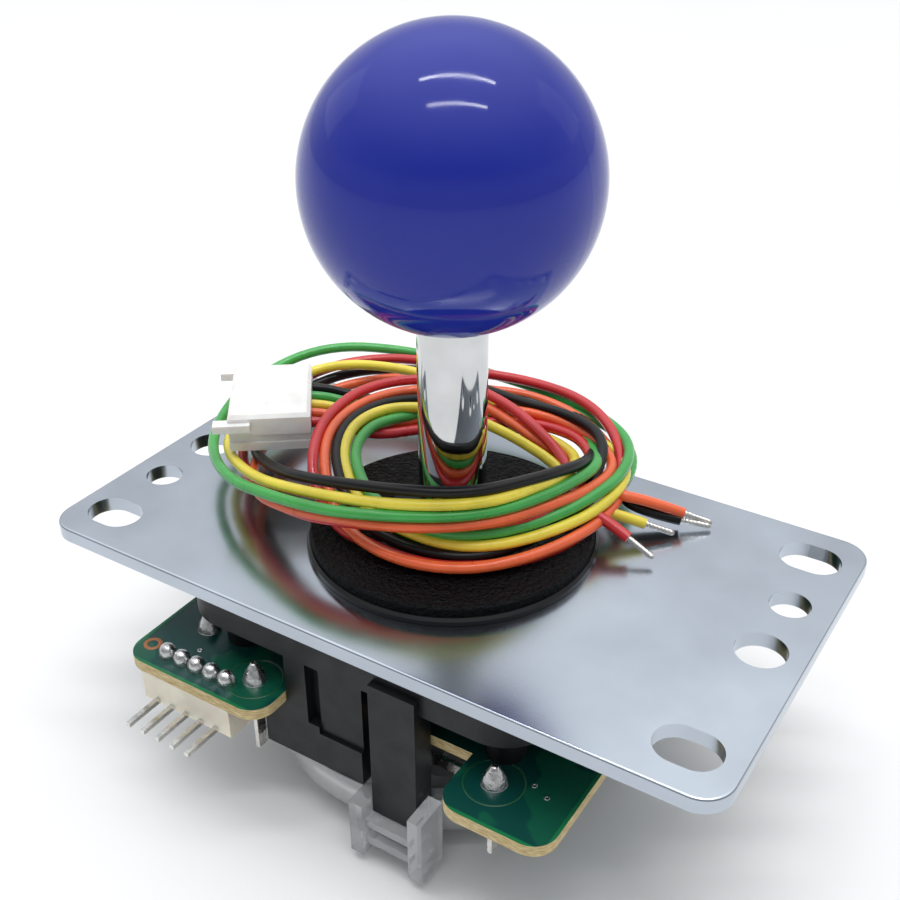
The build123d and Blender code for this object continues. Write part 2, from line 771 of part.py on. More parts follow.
# Header under the board's left corner, with its right-angled pins
header_pin_height = board_bottom - header_height + header_wall_below_pin + header_pin_width / 2
header_centre_x = header_first_pin_x + (header_ways - 1) * header_pitch / 2
pin_places = [header_first_pin_x + way * header_pitch for way in range(header_ways)]
with BuildPart() as header_pins:
    for pin_x in pin_places:
        with BuildSketch(Plane.YZ.offset(pin_x - header_pin_width / 2)):
            with BuildLine():
                half_pin = header_pin_width / 2
                Polyline(
                    (header_row_y + half_pin, board_top + header_pin_rise),
                    (header_row_y + half_pin, header_pin_height - half_pin),
                    (header_front_y - header_pin_reach, header_pin_height - half_pin),
                    (header_front_y - header_pin_reach, header_pin_height + half_pin),
                    (header_row_y - half_pin, header_pin_height + half_pin),
                    (header_row_y - half_pin, board_top + header_pin_rise),
                    close=True,
                )
            make_face()
        extrude(amount=header_pin_width)
header_pins.part.label = "header_pins"
export_step(header_pins.part, "parts/header_pins.step")

with BuildPart() as header_housing:
    with BuildSketch(Plane.XY.offset(board_bottom)):
        with Locations((header_centre_x, header_front_y)):
            Rectangle(header_length, header_depth, align=(Align.CENTER, Align.MIN))
    extrude(amount=-header_height)
    chamfer(header_housing.faces().sort_by(Axis.Z)[0].edges().filter_by(Axis.X), header_edge)
    add(header_pins.part, mode=Mode.SUBTRACT)
header_housing.part.label = "header_housing"
export_step(header_housing.part, "parts/header_housing.step")

# Solder joints on the board: a row of domes on the header and a cone on each terminal
with BuildPart() as solder_joints:
    for pin_x in pin_places:
        with BuildSketch(Plane.XY.offset(board_top)):
            with Locations((pin_x, header_row_y)):
                Circle(joint_radius)
        with BuildSketch(Plane.XY.offset(board_top + joint_height)):
            with Locations((pin_x, header_row_y)):
                Circle(joint_top_radius + header_pin_width / 2)
        loft()
    for side, side_angle in four_sides:
        for end_x, end_y in ((near_terminal_x, near_terminal_y), (far_terminal_x, far_terminal_y)):
            with BuildSketch(Plane.XY.offset(board_top)):
                with Locations(turned(end_x, end_y, side_angle)):
                    Circle(terminal_joint_radius)
            with BuildSketch(Plane.XY.offset(board_top + terminal_joint_height)):
                with Locations(turned(end_x, end_y, side_angle)):
                    Circle(joint_top_radius)
            loft()
    add(header_pins.part, mode=Mode.SUBTRACT)
solder_joints.part.label = "solder_joints"
export_step(solder_joints.part, "parts/solder_joints.step")

# Restrictor gate: a clear bowl with a round rim, four posts up to the board, and at the
# front and back a frame of two uprights and two bars that the housing's latch hooks under
gate_rim_top = leg_bottom_height
gate_floor_top = gate_foot_height + gate_floor_thickness
rim_bottom = gate_rim_top - gate_rim_height
latch_right_side = latch_left_side + latch_width
left_upright = latch_left_side - clip_seat_gap - clip_frame_upright
right_upright = latch_right_side + clip_seat_gap
bar_length = right_upright - left_upright
with BuildPart() as restrictor_gate:
    with BuildSketch(Plane.XZ):
        with BuildLine():
            inner_rim = gate_rim_radius - gate_wall
            inner_foot = gate_foot_radius - gate_wall
            ThreePointArc(
                (gate_rim_radius, rim_bottom),
                (gate_belly_radius, gate_belly_height),
                (gate_foot_radius, gate_foot_height),
            )
            Polyline(
                (gate_foot_radius, gate_foot_height),
                (gate_hole_radius, gate_foot_height),
                (gate_hole_radius, gate_floor_top),
                (inner_foot, gate_floor_top),
            )
            ThreePointArc(
                (inner_foot, gate_floor_top),
                (gate_belly_radius - gate_wall, gate_belly_height + gate_wall / 2),
                (inner_rim, rim_bottom),
            )
            Polyline(
                (inner_rim, rim_bottom),
                (inner_rim, gate_rim_top),
                (gate_rim_radius, gate_rim_top),
                (gate_rim_radius, rim_bottom),
            )
        make_face()
    revolve(axis=Axis.Z)
    with BuildSketch(Plane.XY.offset(rim_bottom)):
        with GridLocations(gate_post_spacing, gate_post_spacing, 2, 2):
            Circle(gate_post_radius)
    extrude(amount=board_bottom - rim_bottom)
    for side_angle in (0, 180):
        with BuildSketch(Plane.XY.offset(clip_frame_bottom).rotated((0, 0, side_angle))):
            with Locations((left_upright, clip_frame_front_y)):
                Rectangle(
                    clip_frame_upright,
                    clip_frame_back_y - clip_frame_front_y,
                    align=(Align.MIN, Align.MIN),
                )
        extrude(amount=gate_rim_top - clip_frame_bottom)
        with BuildSketch(Plane.XY.offset(clip_frame_bottom).rotated((0, 0, side_angle))):
            with Locations((right_upright, clip_frame_front_y)):
                Rectangle(
                    clip_frame_upright,
                    clip_frame_back_y - clip_frame_front_y,
                    align=(Align.MIN, Align.MIN),
                )
        extrude(amount=clip_frame_ear_height - clip_frame_bottom)
        with BuildSketch(Plane.XY.offset(gate_rim_top).rotated((0, 0, side_angle))):
            with Locations((latch_left_side - clip_seat_gap, latch_front - clip_seat_gap)):
                Rectangle(
                    latch_width + 2 * clip_seat_gap,
                    latch_thickness + 2 * clip_seat_gap,
                    align=(Align.MIN, Align.MIN),
                )
        extrude(amount=latch_tip_height - clip_seat_gap - gate_rim_top, mode=Mode.SUBTRACT)
        for bar_top in (upper_bar_top, lower_bar_top):
            with BuildSketch(Plane.XY.offset(bar_top).rotated((0, 0, side_angle))):
                with Locations((left_upright, clip_bar_front_y)):
                    Rectangle(
                        bar_length,
                        latch_neck - clip_seat_gap - clip_bar_front_y,
                        align=(Align.MIN, Align.MIN),
                    )
            extrude(amount=-clip_bar_height)
restrictor_gate.part.label = "restrictor_gate"
export_step(restrictor_gate.part, "parts/restrictor_gate.step")

# Dial: a round plate in the gate with the square opening that stops the actuator's nose
nose_depth = pivot_height - actuator_nose_height
nose_reach = actuator_nose_radius * cos(tilt) + nose_depth * tan(tilt)
dial_opening = 2 * (nose_reach + dial_clearance)
with BuildPart() as gate_dial:
    with BuildSketch(Plane.XY.offset(gate_floor_top)):
        Circle(dial_radius)
        with PolarLocations(dial_radius, dial_notch_count):
            Circle(dial_notch_radius, mode=Mode.SUBTRACT)
        RectangleRounded(dial_opening, dial_opening, dial_corner_radius, mode=Mode.SUBTRACT)
    extrude(amount=dial_thickness)
gate_dial.part.label = "gate_dial"
export_step(gate_dial.part, "parts/gate_dial.step")

# Plug of the cable: five cavities with their terminals, a rib on each side and a groove
plug_plane = Plane(
    origin=(plug_centre_x, plug_centre_y, plug_base_height),
    x_dir=turned(1, 0, plug_turn) + (0,),
    z_dir=(0, 0, 1),
)
plug_mid = plug_height / 2
plug_end = plug_length / 2
plug_side = plug_width / 2
way_places = [(way - (header_ways - 1) / 2) * plug_pitch for way in range(header_ways)]
plug_end_plane = Plane(
    origin=plug_plane.from_local_coords((plug_end, 0, plug_mid)),
    x_dir=plug_plane.y_dir,
    z_dir=plug_plane.x_dir,
)
with BuildPart() as plug_housing:
    with BuildSketch(plug_plane):
        Rectangle(plug_length, plug_width)
    extrude(amount=plug_height)
    chamfer(plug_housing.faces().sort_by(Axis.Z)[-1].edges(), plug_edge)
    with BuildSketch(plug_plane.offset(plug_height - plug_rib_drop)):
        rib_start = -plug_end - plug_rib_reach
        with Locations((rib_start, plug_side), (rib_start, -plug_side)):
            Rectangle(plug_rib_length, 2 * plug_rib_width, align=(Align.MIN, Align.CENTER))
    extrude(amount=-plug_rib_height)
    with BuildSketch(plug_plane.offset(plug_groove_height)):
        with Locations((0, plug_side), (0, -plug_side)):
            Rectangle(plug_length, 2 * plug_groove_depth)
    extrude(amount=plug_groove_height, mode=Mode.SUBTRACT)
    with BuildSketch(plug_end_plane):
        with Locations(*[(place, 0) for place in way_places]):
            Rectangle(plug_cavity, plug_cavity)
    extrude(amount=-plug_wire_depth - plug_terminal_length, mode=Mode.SUBTRACT)
plug_housing.part.label = "plug_housing"
export_step(plug_housing.part, "parts/plug_housing.step")

with BuildPart() as plug_terminals:
    with BuildSketch(plug_end_plane.offset(-plug_wire_depth)):
        with Locations(*[(place, 0) for place in way_places]):
            Rectangle(plug_terminal_width, plug_terminal_width)
    extrude(amount=-plug_terminal_length)
plug_terminals.part.label = "plug_terminals"
export_step(plug_terminals.part, "parts/plug_terminals.step")

# Coil of the five wires: its outer shape, an oval round an off-centre hole that leaves the
# shaft its throw, with its upper turns cut off straight where the plug lies on the lower ones
coil_bottom = dust_disc_top + coil_lift
coil_bed = plug_base_height - plug_bed_clearance
with BuildPart() as wire_coil:
    with BuildSketch(Plane.XY.offset(coil_bed)) as upper_turns:
        with Locations((coil_centre_x, coil_centre_y)):
            Ellipse(coil_long_radius, coil_short_radius, rotation=coil_turn)
        with Locations(plug_plane.location * Location((plug_end + plug_bed_clearance, 0, 0))):
            Rectangle(
                2 * coil_long_radius,
                4 * coil_long_radius,
                align=(Align.MAX, Align.CENTER),
                mode=Mode.SUBTRACT,
            )
        cut_corners = upper_turns.vertices().sort_by_distance((plug_centre_x, plug_centre_y, 0))
        fillet(cut_corners[:2], coil_corner_radius)
        with Locations((coil_hole_x, coil_hole_y)):
            Circle(coil_hole_radius, mode=Mode.SUBTRACT)
    extrude(amount=coil_bottom + coil_height - coil_bed)
    fillet(wire_coil.faces().sort_by(Axis.Z)[-1].edges(), coil_top_edge_radius)
    with BuildSketch(Plane.XY.offset(coil_bottom)):
        with Locations((coil_centre_x, coil_centre_y)):
            Ellipse(coil_long_radius, coil_short_radius, rotation=coil_turn)
        with Locations((coil_hole_x, coil_hole_y)):
            Circle(coil_hole_radius, mode=Mode.SUBTRACT)
    extrude(amount=coil_bed - coil_bottom)
    fillet(wire_coil.faces().sort_by(Axis.Z)[0].edges(), coil_edge_radius)
wire_coil.part.label = "wire_coil"
export_step(wire_coil.part, "parts/wire_coil.step")


def cord_tube(name, points):
    """Sweep one wire's insulation along straight runs joined by tangent arcs.

    Each arc's radius is a share of the shorter run beside it over the tangent of half the turn.

    Args:
        name: Node name of the tube.
        points: Route of the wire's axis, from one end to the other.
    """
    places = [Vector(*point) for point in points]
    runs = [after - before for before, after in zip(places, places[1:])]
    radii = []
    for before, after in zip(runs, runs[1:]):
        half_turn = radians(before.get_angle(after)) / 2
        radii.append(bend_share * min(before.length, after.length) / tan(half_turn))
    with BuildPart() as tube:
        with BuildLine():
            path = FilletPolyline(*places, radius=radii)
        with BuildSketch(Plane(path @ 0, z_dir=path % 0)):
            Circle(wire_diameter / 2)
        sweep()
    section = pi * wire_diameter**2 / 4
    print(name, "radii", [round(radius, 1) for radius in radii], end=" ")
    print("volume over section times length", round(tube.part.volume / section / path.length, 4))
    tube.part.label = name
    export_step(tube.part, f"parts/{name}.step")


# Leads: each wire leaves its cavity of the plug and runs down into the coil
lead_height = plug_base_height + plug_mid
for colour, place in zip(lead_colours, way_places):
    start = plug_plane.from_local_coords((plug_end - plug_wire_depth, place, plug_mid))
    step_one = turned(lead_run + plug_wire_depth, 0, plug_turn)
    step_two = turned(lead_run, 0, plug_turn - lead_bend)
    knee = (start.X + step_one[0], start.Y + step_one[1], lead_height)
    end = (knee[0] + step_two[0], knee[1] + step_two[1], lead_height - lead_drop)
    cord_tube(f"lead_{colour}", (tuple(start), knee, end))

# Tails: each wire leaves the coil and lies towards the plate, with a tinned bare end
for colour, points in tails.items():
    cord_tube(f"tail_{colour}", points)
with BuildPart() as tinned_ends:
    for points in tails.values():
        before, end = [Vector(*point) for point in points[-2:]]
        with BuildSketch(Plane(end, z_dir=end - before)):
            Circle(core_diameter / 2)
        extrude(amount=core_length)
tinned_ends.part.label = "tinned_ends"
export_step(tinned_ends.part, "parts/tinned_ends.step")
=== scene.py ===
"""Dresses the arcade joystick lever: its materials, its loose wiring lead and its fine details."""

import logging
import math
from dataclasses import dataclass
from enum import Enum
from typing import ClassVar

import bmesh
import bpy
import numpy as np
from mathutils import Matrix, Vector


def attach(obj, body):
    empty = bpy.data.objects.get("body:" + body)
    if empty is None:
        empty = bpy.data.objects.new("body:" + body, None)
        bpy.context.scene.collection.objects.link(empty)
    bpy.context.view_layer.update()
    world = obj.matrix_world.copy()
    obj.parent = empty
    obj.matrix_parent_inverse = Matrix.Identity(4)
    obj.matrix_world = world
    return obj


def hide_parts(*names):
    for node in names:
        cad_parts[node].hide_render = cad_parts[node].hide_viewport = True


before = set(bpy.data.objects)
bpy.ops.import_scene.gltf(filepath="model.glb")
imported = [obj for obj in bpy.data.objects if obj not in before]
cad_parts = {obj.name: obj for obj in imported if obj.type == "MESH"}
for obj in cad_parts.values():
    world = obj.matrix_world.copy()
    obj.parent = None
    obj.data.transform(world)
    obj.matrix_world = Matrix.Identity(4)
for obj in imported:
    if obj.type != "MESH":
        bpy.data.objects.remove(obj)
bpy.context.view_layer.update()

log = logging.getLogger("joystick_lever")
MM = 0.001
# Corners closer than this, in metres, are one corner
WELD = 1e-6
Place = tuple[float, float, float]
Colour = tuple[float, float, float]
Span = tuple[float, float]
Socket = bpy.types.NodeSocket
# Where most values of a noise pattern lie
MIDDLE: Span = (0.3, 0.7)
FULL: Span = (0.0, 1.0)


def plan_point(x: float, y: float, degrees: float) -> tuple[float, float]:
    """Turn a plan point about the lever's axis.

    Args:
        x: Place along X.
        y: Place along Y.
        degrees: Turn, anticlockwise from above.

    Returns:
        The turned point.
    """
    turn = math.radians(degrees)
    return (
        x * math.cos(turn) - y * math.sin(turn),
        x * math.sin(turn) + y * math.cos(turn),
    )


def scaled(colour: Colour, share: float, lift: float = 0.0) -> Colour:
    """Give a share of a colour, lifted by a little and held at 1."""
    return tuple(min(1.0, share * part + lift) for part in colour)


def closed_piece(name: str, points: np.ndarray, faces: np.ndarray) -> bpy.types.Object:
    """Make a closed piece from points and four-cornered faces.

    Args:
        name: The piece's name.
        points: Corner places in metres, one row each.
        faces: Corner numbers, four to a row.

    Returns:
        The piece, with its poles merged, its faces outwards and smooth shading.
    """
    mesh = bpy.data.meshes.new(name)
    mesh.from_pydata(points.tolist(), [], faces.tolist())
    shell = bmesh.new()
    shell.from_mesh(mesh)
    bmesh.ops.remove_doubles(shell, verts=shell.verts, dist=WELD)
    bmesh.ops.recalc_face_normals(shell, faces=shell.faces)
    shell.to_mesh(mesh)
    shell.free()
    mesh.shade_smooth()
    piece = bpy.data.objects.new(name, mesh)
    bpy.context.scene.collection.objects.link(piece)
    return piece


def grid_faces(rows: int, columns: int, count: int = 1) -> np.ndarray:
    """Number the faces of tubes whose points lie in rows round each tube.

    Corner (i, j) joins (i, j+1), (i+1, j+1) and (i+1, j), and the last column joins the first.

    Args:
        rows: Rings of points along a tube.
        columns: Points round a tube.
        count: How many such tubes follow each other.

    Returns:
        Corner numbers, four to a row.
    """
    ring = np.arange(rows * columns).reshape(rows, columns)
    ring = np.concatenate([ring, ring[:, :1]], axis=1)
    quads = np.stack([ring[:-1, :-1], ring[:-1, 1:], ring[1:, 1:], ring[1:, :-1]], axis=-1)
    steps = np.arange(count)[:, None, None] * rows * columns
    return (quads.reshape(-1, 4)[None] + steps).reshape(-1, 4)


def turned_profile(profile: np.ndarray, centres: np.ndarray, columns: int) -> np.ndarray:
    """Turn one profile about upright axes through several centres.

    A point is centre + (r cos a, r sin a, z), for the profile's r and z and even angles a.

    Args:
        profile: Radius and height, one row each.
        centres: Centre places, one row each.
        columns: Points round each axis.

    Returns:
        Points in the order that grid_faces numbers them.
    """
    angle = np.linspace(0, 2 * np.pi, columns, endpoint=False)
    circle = np.stack([np.cos(angle), np.sin(angle)], axis=-1)
    flat = profile[:, None, :1] * circle[None]
    rise = np.broadcast_to(profile[:, None, 1:], flat.shape[:2] + (1,))
    shape = np.concatenate([flat, rise], axis=-1)
    return (centres[:, None, None] + shape[None]).reshape(-1, 3)


def band_profile(inner: float, outer: float, rise: float, bevel: float = 0.0) -> np.ndarray:
    """Give the closed profile of a thin ring that is sunk a little into the board.

    Args:
        inner: Inner radius in millimetres.
        outer: Outer radius.
        rise: Height above the board.
        bevel: How far its sides lean in towards the top.

    Returns:
        Radius and height, one row each.
    """
    sunk = -0.04
    foot, end = (inner, sunk), (outer, sunk)
    return np.array([foot, end, (outer - bevel, rise), (inner + bevel, rise), foot])


def map_range(
    tree: bpy.types.NodeTree, pattern: Socket, source: Span, target: Span, smooth: bool = False
) -> Socket:
    """Map a pattern's range onto another, held at both ends.

    Args:
        tree: The nodes and links that the pattern is in.
        pattern: The pattern.
        source: Two values of the pattern.
        target: What they become.
        smooth: Whether the change eases in and out.

    Returns:
        The mapped pattern.
    """
    node = tree.nodes.new("ShaderNodeMapRange")
    if smooth:
        node.interpolation_type = "SMOOTHSTEP"
    for name, value in zip(("From Min", "From Max", "To Min", "To Max"), source + target):
        node.inputs[name].default_value = value
    tree.links.new(pattern, node.inputs["Value"])
    return node.outputs["Result"]


class Shading:
    """One node material on a Principled shader, with patterns on Object coordinates."""

    def __init__(self, name: str, colour: Colour, roughness: float, metallic: float = 0.0) -> None:
        """Start the material.

        Args:
            name: The material's name.
            colour: Base colour, linear.
            roughness: Base roughness.
            metallic: 1 for bare metal.
        """
        self.material = bpy.data.materials.new(name)
        self.material.use_nodes = True
        self.tree = self.material.node_tree
        self.shader = self.tree.nodes["Principled BSDF"]
        self.socket("Base Color", (*colour, 1.0))
        self.socket("Roughness", roughness)
        self.socket("Metallic", metallic)
        self.material.diffuse_color = (*colour, 1.0)
        self.place = self.node("TexCoord").outputs["Object"]

    def node(self, kind: str) -> bpy.types.Node:
        """Add a shader node of that kind."""
        return self.tree.nodes.new(f"ShaderNode{kind}")

    def socket(self, name: str, value: float | tuple[float, ...]) -> None:
        """Set one of the shader's own sockets to a value."""
        self.shader.inputs[name].default_value = value

    def join(self, pattern: Socket, target: Socket) -> None:
        """Link a pattern to a socket."""
        self.tree.links.new(pattern, target)

    def stretched(self, scale: Place) -> Socket:
        """Scale the Object coordinates along the axes.

        Args:
            scale: Scales along X, Y and Z.

        Returns:
            The scaled coordinates.
        """
        mapping = self.node("Mapping")
        mapping.inputs["Scale"].default_value = scale
        self.join(self.place, mapping.inputs["Vector"])
        return mapping.outputs["Vector"]

    def noise(self, size: float, detail: float = 3.0, place: Socket | None = None) -> Socket:
        """Add a noise pattern.

        Args:
            size: Size of its features in millimetres.
            detail: Octaves of the noise.
            place: Coordinates to use instead of plain Object coordinates.

        Returns:
            The pattern, from 0 to 1.
        """
        node = self.node("TexNoise")
        node.inputs["Scale"].default_value = 1.0 / (size * MM)
        node.inputs["Detail"].default_value = detail
        self.join(place or self.place, node.inputs["Vector"])
        return node.outputs["Fac"]

    def cells(self, size: float) -> Socket:
        """Add a pattern of rounded cells.

        Args:
            size: Size of a cell in millimetres.

        Returns:
            The pattern, 0 at a cell's centre.
        """
        node = self.node("TexVoronoi")
        node.feature = "SMOOTH_F1"
        node.inputs["Scale"].default_value = 1.0 / (size * MM)
        self.join(self.place, node.inputs["Vector"])
        return node.outputs["Distance"]

    def spread(self, pattern: Socket, source: Span = MIDDLE, target: Span = FULL) -> Socket:
        """Map a pattern's range onto another, held at both ends."""
        return map_range(self.tree, pattern, source, target)

    def combine(self, operation: str, first: Socket, second: Socket | float) -> Socket:
        """Combine two patterns, or a pattern and a number.

        Args:
            operation: The Math node's operation.
            first: A pattern.
            second: A pattern or a number.

        Returns:
            The result.
        """
        node = self.node("Math")
        node.operation = operation
        self.join(first, node.inputs[0])
        if isinstance(second, float):
            node.inputs[1].default_value = second
        else:
            self.join(second, node.inputs[1])
        return node.outputs["Value"]

    def blend(self, share: Socket, first: Colour, second: Colour) -> Socket:
        """Blend two colours by a pattern.

        Args:
            share: The pattern.
            first: The colour where it is 0.
            second: The colour where it is 1.

        Returns:
            The colours.
        """
        node = self.node("ValToRGB")
        for stop, colour in zip(node.color_ramp.elements, (first, second)):
            stop.color = (*colour, 1.0)
        self.join(share, node.inputs["Fac"])
        return node.outputs["Color"]

    def paint(self, colour: Socket) -> None:
        """Use a colour pattern as the base colour."""
        self.join(colour, self.shader.inputs["Base Color"])

    def polish(self, roughness: Socket) -> None:
        """Use a pattern as the roughness."""
        self.join(roughness, self.shader.inputs["Roughness"])

    def tint(
        self, pattern: Socket, colour: Colour, shades: Span, lift: float = 0.0,
        source: Span = MIDDLE,
    ) -> None:
        """Vary the base colour between two shares of one colour.

        Args:
            pattern: The pattern that it follows.
            colour: The colour.
            shades: Its smallest and largest share.
            lift: What the lighter one gains besides.
            source: The pattern's values for the two.
        """
        darker, lighter = scaled(colour, shades[0]), scaled(colour, shades[1], lift)
        self.paint(self.blend(self.spread(pattern, source), darker, lighter))

    def cloud_polish(self, pattern: Socket, roughness: float, shares: Span) -> None:
        """Vary the roughness between two shares of it.

        Args:
            pattern: The pattern that it follows.
            roughness: The roughness.
            shares: Its smallest and largest share.
        """
        low, high = (min(1.0, share * roughness) for share in shares)
        self.polish(self.spread(pattern, target=(low, high)))

    def emboss(self, height: Socket, depth: float) -> None:
        """Raise the surface by a pattern.

        Args:
            height: The pattern, from 0 to 1.
            depth: Height of 1 in millimetres.
        """
        node = self.node("Bump")
        node.inputs["Distance"].default_value = depth * MM
        node.inputs["Strength"].default_value = 1.0
        self.join(height, node.inputs["Height"])
        self.join(node.outputs["Normal"], self.shader.inputs["Normal"])

    def distance_from_axis(self) -> Socket:
        """Measure the distance from the lever's axis.

        Returns:
            The distance in millimetres.
        """
        node = self.node("VectorMath")
        node.operation = "LENGTH"
        self.join(self.stretched((1 / MM, 1 / MM, 0.0)), node.inputs[0])
        return node.outputs["Value"]

    def size_of(self, pattern: Socket) -> Socket:
        """Give a pattern without its sign."""
        return self.combine("ABSOLUTE", pattern, 0.0)

    def along(self, vector: Socket, axis: str) -> Socket:
        """Take one axis of a vector pattern.

        Args:
            vector: The pattern.
            axis: X, Y or Z.

        Returns:
            Its part along that axis.
        """
        node = self.node("SeparateXYZ")
        self.join(vector, node.inputs[0])
        return node.outputs[axis]


@dataclass(frozen=True)
class Moulded:
    """Moulded plastic with a faint mottle and a fine surface texture.

    Args:
        name: The material's name.
        colour: Main colour, linear.
        roughness: Middle roughness.
        grain: Size of the surface texture in millimetres.
        depth: Depth of the texture in millimetres.
        coat: Share of a clear gloss on top.
        soft: Share of light that goes through the surface, as in soft or white plastic.
        gloss: Strength of the plain reflection.
    """

    name: str
    colour: Colour
    roughness: float
    grain: float = 0.4
    depth: float = 0.01
    coat: float = 0.0
    soft: float = 0.0
    gloss: float = 0.5

    def build(self) -> bpy.types.Material:
        """Make the material.

        Returns:
            The material.
        """
        shading = Shading(self.name, self.colour, self.roughness)
        shading.tint(shading.noise(size=6.0, detail=4.0), self.colour, (0.86, 1.12), lift=0.002)
        shading.cloud_polish(shading.noise(size=2.5), self.roughness, (0.85, 1.2))
        shading.emboss(shading.noise(self.grain, detail=2.0), self.depth)
        shading.socket("Specular IOR Level", self.gloss)
        shading.socket("Coat Weight", self.coat)
        shading.socket("Coat Roughness", 0.04)
        shading.socket("Subsurface Weight", self.soft)
        shading.socket("Subsurface Scale", 0.8 * MM)
        return shading.material


@dataclass(frozen=True)
class Metal:
    """Bare or plated metal with clouded polish and fine marks.

    Args:
        name: The material's name.
        colour: Main colour, linear.
        roughness: Middle roughness.
        cloud: Size of the clouds in the polish in millimetres.
        marks: Depth of the fine marks in millimetres.
        stretch: Scale of the marks along X, Y and Z, smaller where they are longer.
    """

    name: str
    colour: Colour
    roughness: float
    cloud: float = 8.0
    marks: float = 0.002
    stretch: Place = (1.0, 1.0, 1.0)

    def build(self) -> bpy.types.Material:
        """Make the material.

        Returns:
            The material.
        """
        shading = Shading(self.name, self.colour, self.roughness, metallic=1.0)
        cloud = shading.noise(self.cloud, detail=5.0)
        shading.tint(cloud, self.colour, (0.9, 1.08))
        shading.cloud_polish(cloud, self.roughness, (0.8, 1.25))
        fine = shading.noise(size=0.6, place=shading.stretched(self.stretch))
        shading.emboss(fine, self.marks)
        return shading.material


@dataclass(frozen=True)
class Clear:
    """Smoky clear plastic with a slightly uneven surface.

    Args:
        name: The material's name.
        colour: Colour of the light that goes through.
        roughness: Roughness of the surface.
        clearness: Share of the light that goes through, the rest of which is milky.
    """

    name: str
    colour: Colour
    roughness: float
    clearness: float = 0.74

    def build(self) -> bpy.types.Material:
        """Make the material.

        Returns:
            The material.
        """
        shading = Shading(self.name, self.colour, self.roughness)
        shading.socket("Transmission Weight", self.clearness)
        shading.socket("IOR", 1.5)
        cloud = shading.noise(size=5.0)
        shading.cloud_polish(cloud, self.roughness, (0.6, 1.6))
        shading.tint(cloud, self.colour, (0.9, 1.0), source=(0.2, 0.8))
        shading.emboss(shading.noise(size=3.0, detail=2.0), depth=0.02)
        return shading.material


@dataclass(frozen=True)
class BallGloss:
    """Deep coloured moulded ball with an even gloss and faint smears.

    Args:
        name: The material's name.
        colour: Main colour, linear.
        polish: Roughness where the ball is clean and where it is smeared.
    """

    name: str
    colour: Colour
    polish: Span = (0.07, 0.17)

    def build(self) -> bpy.types.Material:
        """Make the material.

        Returns:
            The material.
        """
        shading = Shading(self.name, self.colour, 0.1)
        shading.socket("IOR", 1.36)
        shading.tint(shading.noise(size=14.0, detail=2.0), self.colour, (1.0, 1.1), lift=0.002)
        smear = shading.noise(size=7.0, detail=5.0)
        shading.polish(shading.spread(smear, (0.5, 0.75), self.polish))
        shading.emboss(shading.noise(size=5.0, detail=1.0), depth=0.01)
        return shading.material


@dataclass(frozen=True)
class GrainedCover:
    """Black cover with a coarse leather grain on its outer band and a smooth middle.

    Args:
        name: The material's name.
        band_radius: Inner radius of the grained band in millimetres.
        middle: Colour of the smooth middle, linear.
        band: Colour of the grained band.
        depth: Depth of the grain in millimetres.
    """

    name: str
    band_radius: float
    middle: Colour = (0.025, 0.029, 0.034)
    band: Colour = (0.0014, 0.002, 0.0028)
    depth: float = 0.34

    def build(self) -> bpy.types.Material:
        """Make the material.

        Returns:
            The material.
        """
        shading = Shading(self.name, (0.006, 0.006, 0.007), 0.4)
        shading.socket("Specular IOR Level", 0.14)
        reach = shading.distance_from_axis()
        band = shading.spread(reach, (self.band_radius - 0.2, self.band_radius + 0.2))
        lumps = shading.combine("ADD", shading.cells(0.6), shading.noise(size=0.3, detail=4.0))
        shading.emboss(shading.combine("MULTIPLY", lumps, band), self.depth)
        shading.paint(shading.blend(band, self.middle, self.band))
        dull = shading.spread(band, FULL, (0.42, 0.38))
        wear = shading.spread(shading.noise(size=1.5, detail=5.0), (0.35, 0.65), (-0.07, 0.1))
        shading.polish(shading.combine("ADD", dull, wear))
        return shading.material


@dataclass(frozen=True)
class SolderMask:
    """Green solder mask over faint copper tracks, and the board's bare tan edge.

    The board's flat sides are told from its edge by the Z of the surface's direction.

    Args:
        name: The material's name.
        pour_edge: Distance from the middle, along X or Y, where the copper margin starts.
        bare: Colour of the mask where no copper lies under it, linear.
        coppered: Colour of the mask over copper.
    """

    name: str
    pour_edge: float
    bare: Colour = (0.003, 0.05, 0.041)
    coppered: Colour = (0.012, 0.18, 0.06)

    def copper(self, shading: Shading) -> Socket:
        """Show where copper lies under the mask: in patches and along the board's margin.

        Args:
            shading: The material.

        Returns:
            The copper's share, from 0 to 0.8.
        """
        patches = shading.spread(shading.noise(size=8.0, detail=1.5), (0.5, 0.53), (0.0, 0.24))
        place = shading.stretched((1 / MM, 1 / MM, 1 / MM))
        sides = (shading.size_of(shading.along(place, axis)) for axis in ("X", "Y"))
        reach = shading.combine("MAXIMUM", *sides)
        margin = (self.pour_edge - 0.1, self.pour_edge + 0.1)
        return shading.combine("MAXIMUM", patches, shading.spread(reach, margin, (0.0, 0.8)))

    def build(self) -> bpy.types.Material:
        """Make the material.

        Returns:
            The material.
        """
        shading = Shading(self.name, (0.01, 0.12, 0.06), 0.28)
        copper = self.copper(shading)
        face = shading.blend(copper, self.bare, self.coppered)
        direction = shading.along(shading.node("TexCoord").outputs["Normal"], "Z")
        flat = shading.spread(shading.size_of(direction), (0.4, 0.6))
        layers = shading.noise(size=0.3, detail=2.0, place=shading.stretched((0.3, 0.3, 2.0)))
        layers = shading.spread(layers, (0.35, 0.65))
        edge = shading.blend(layers, (0.42, 0.3, 0.12), (0.66, 0.55, 0.3))
        mix = shading.node("Mix")
        mix.data_type = "RGBA"
        shading.join(flat, mix.inputs["Factor"])
        shading.join(edge, mix.inputs[6])
        shading.join(face, mix.inputs[7])
        shading.paint(mix.outputs[2])
        shading.polish(shading.spread(flat, FULL, (0.7, 0.24)))
        shading.emboss(copper, depth=0.03)
        return shading.material


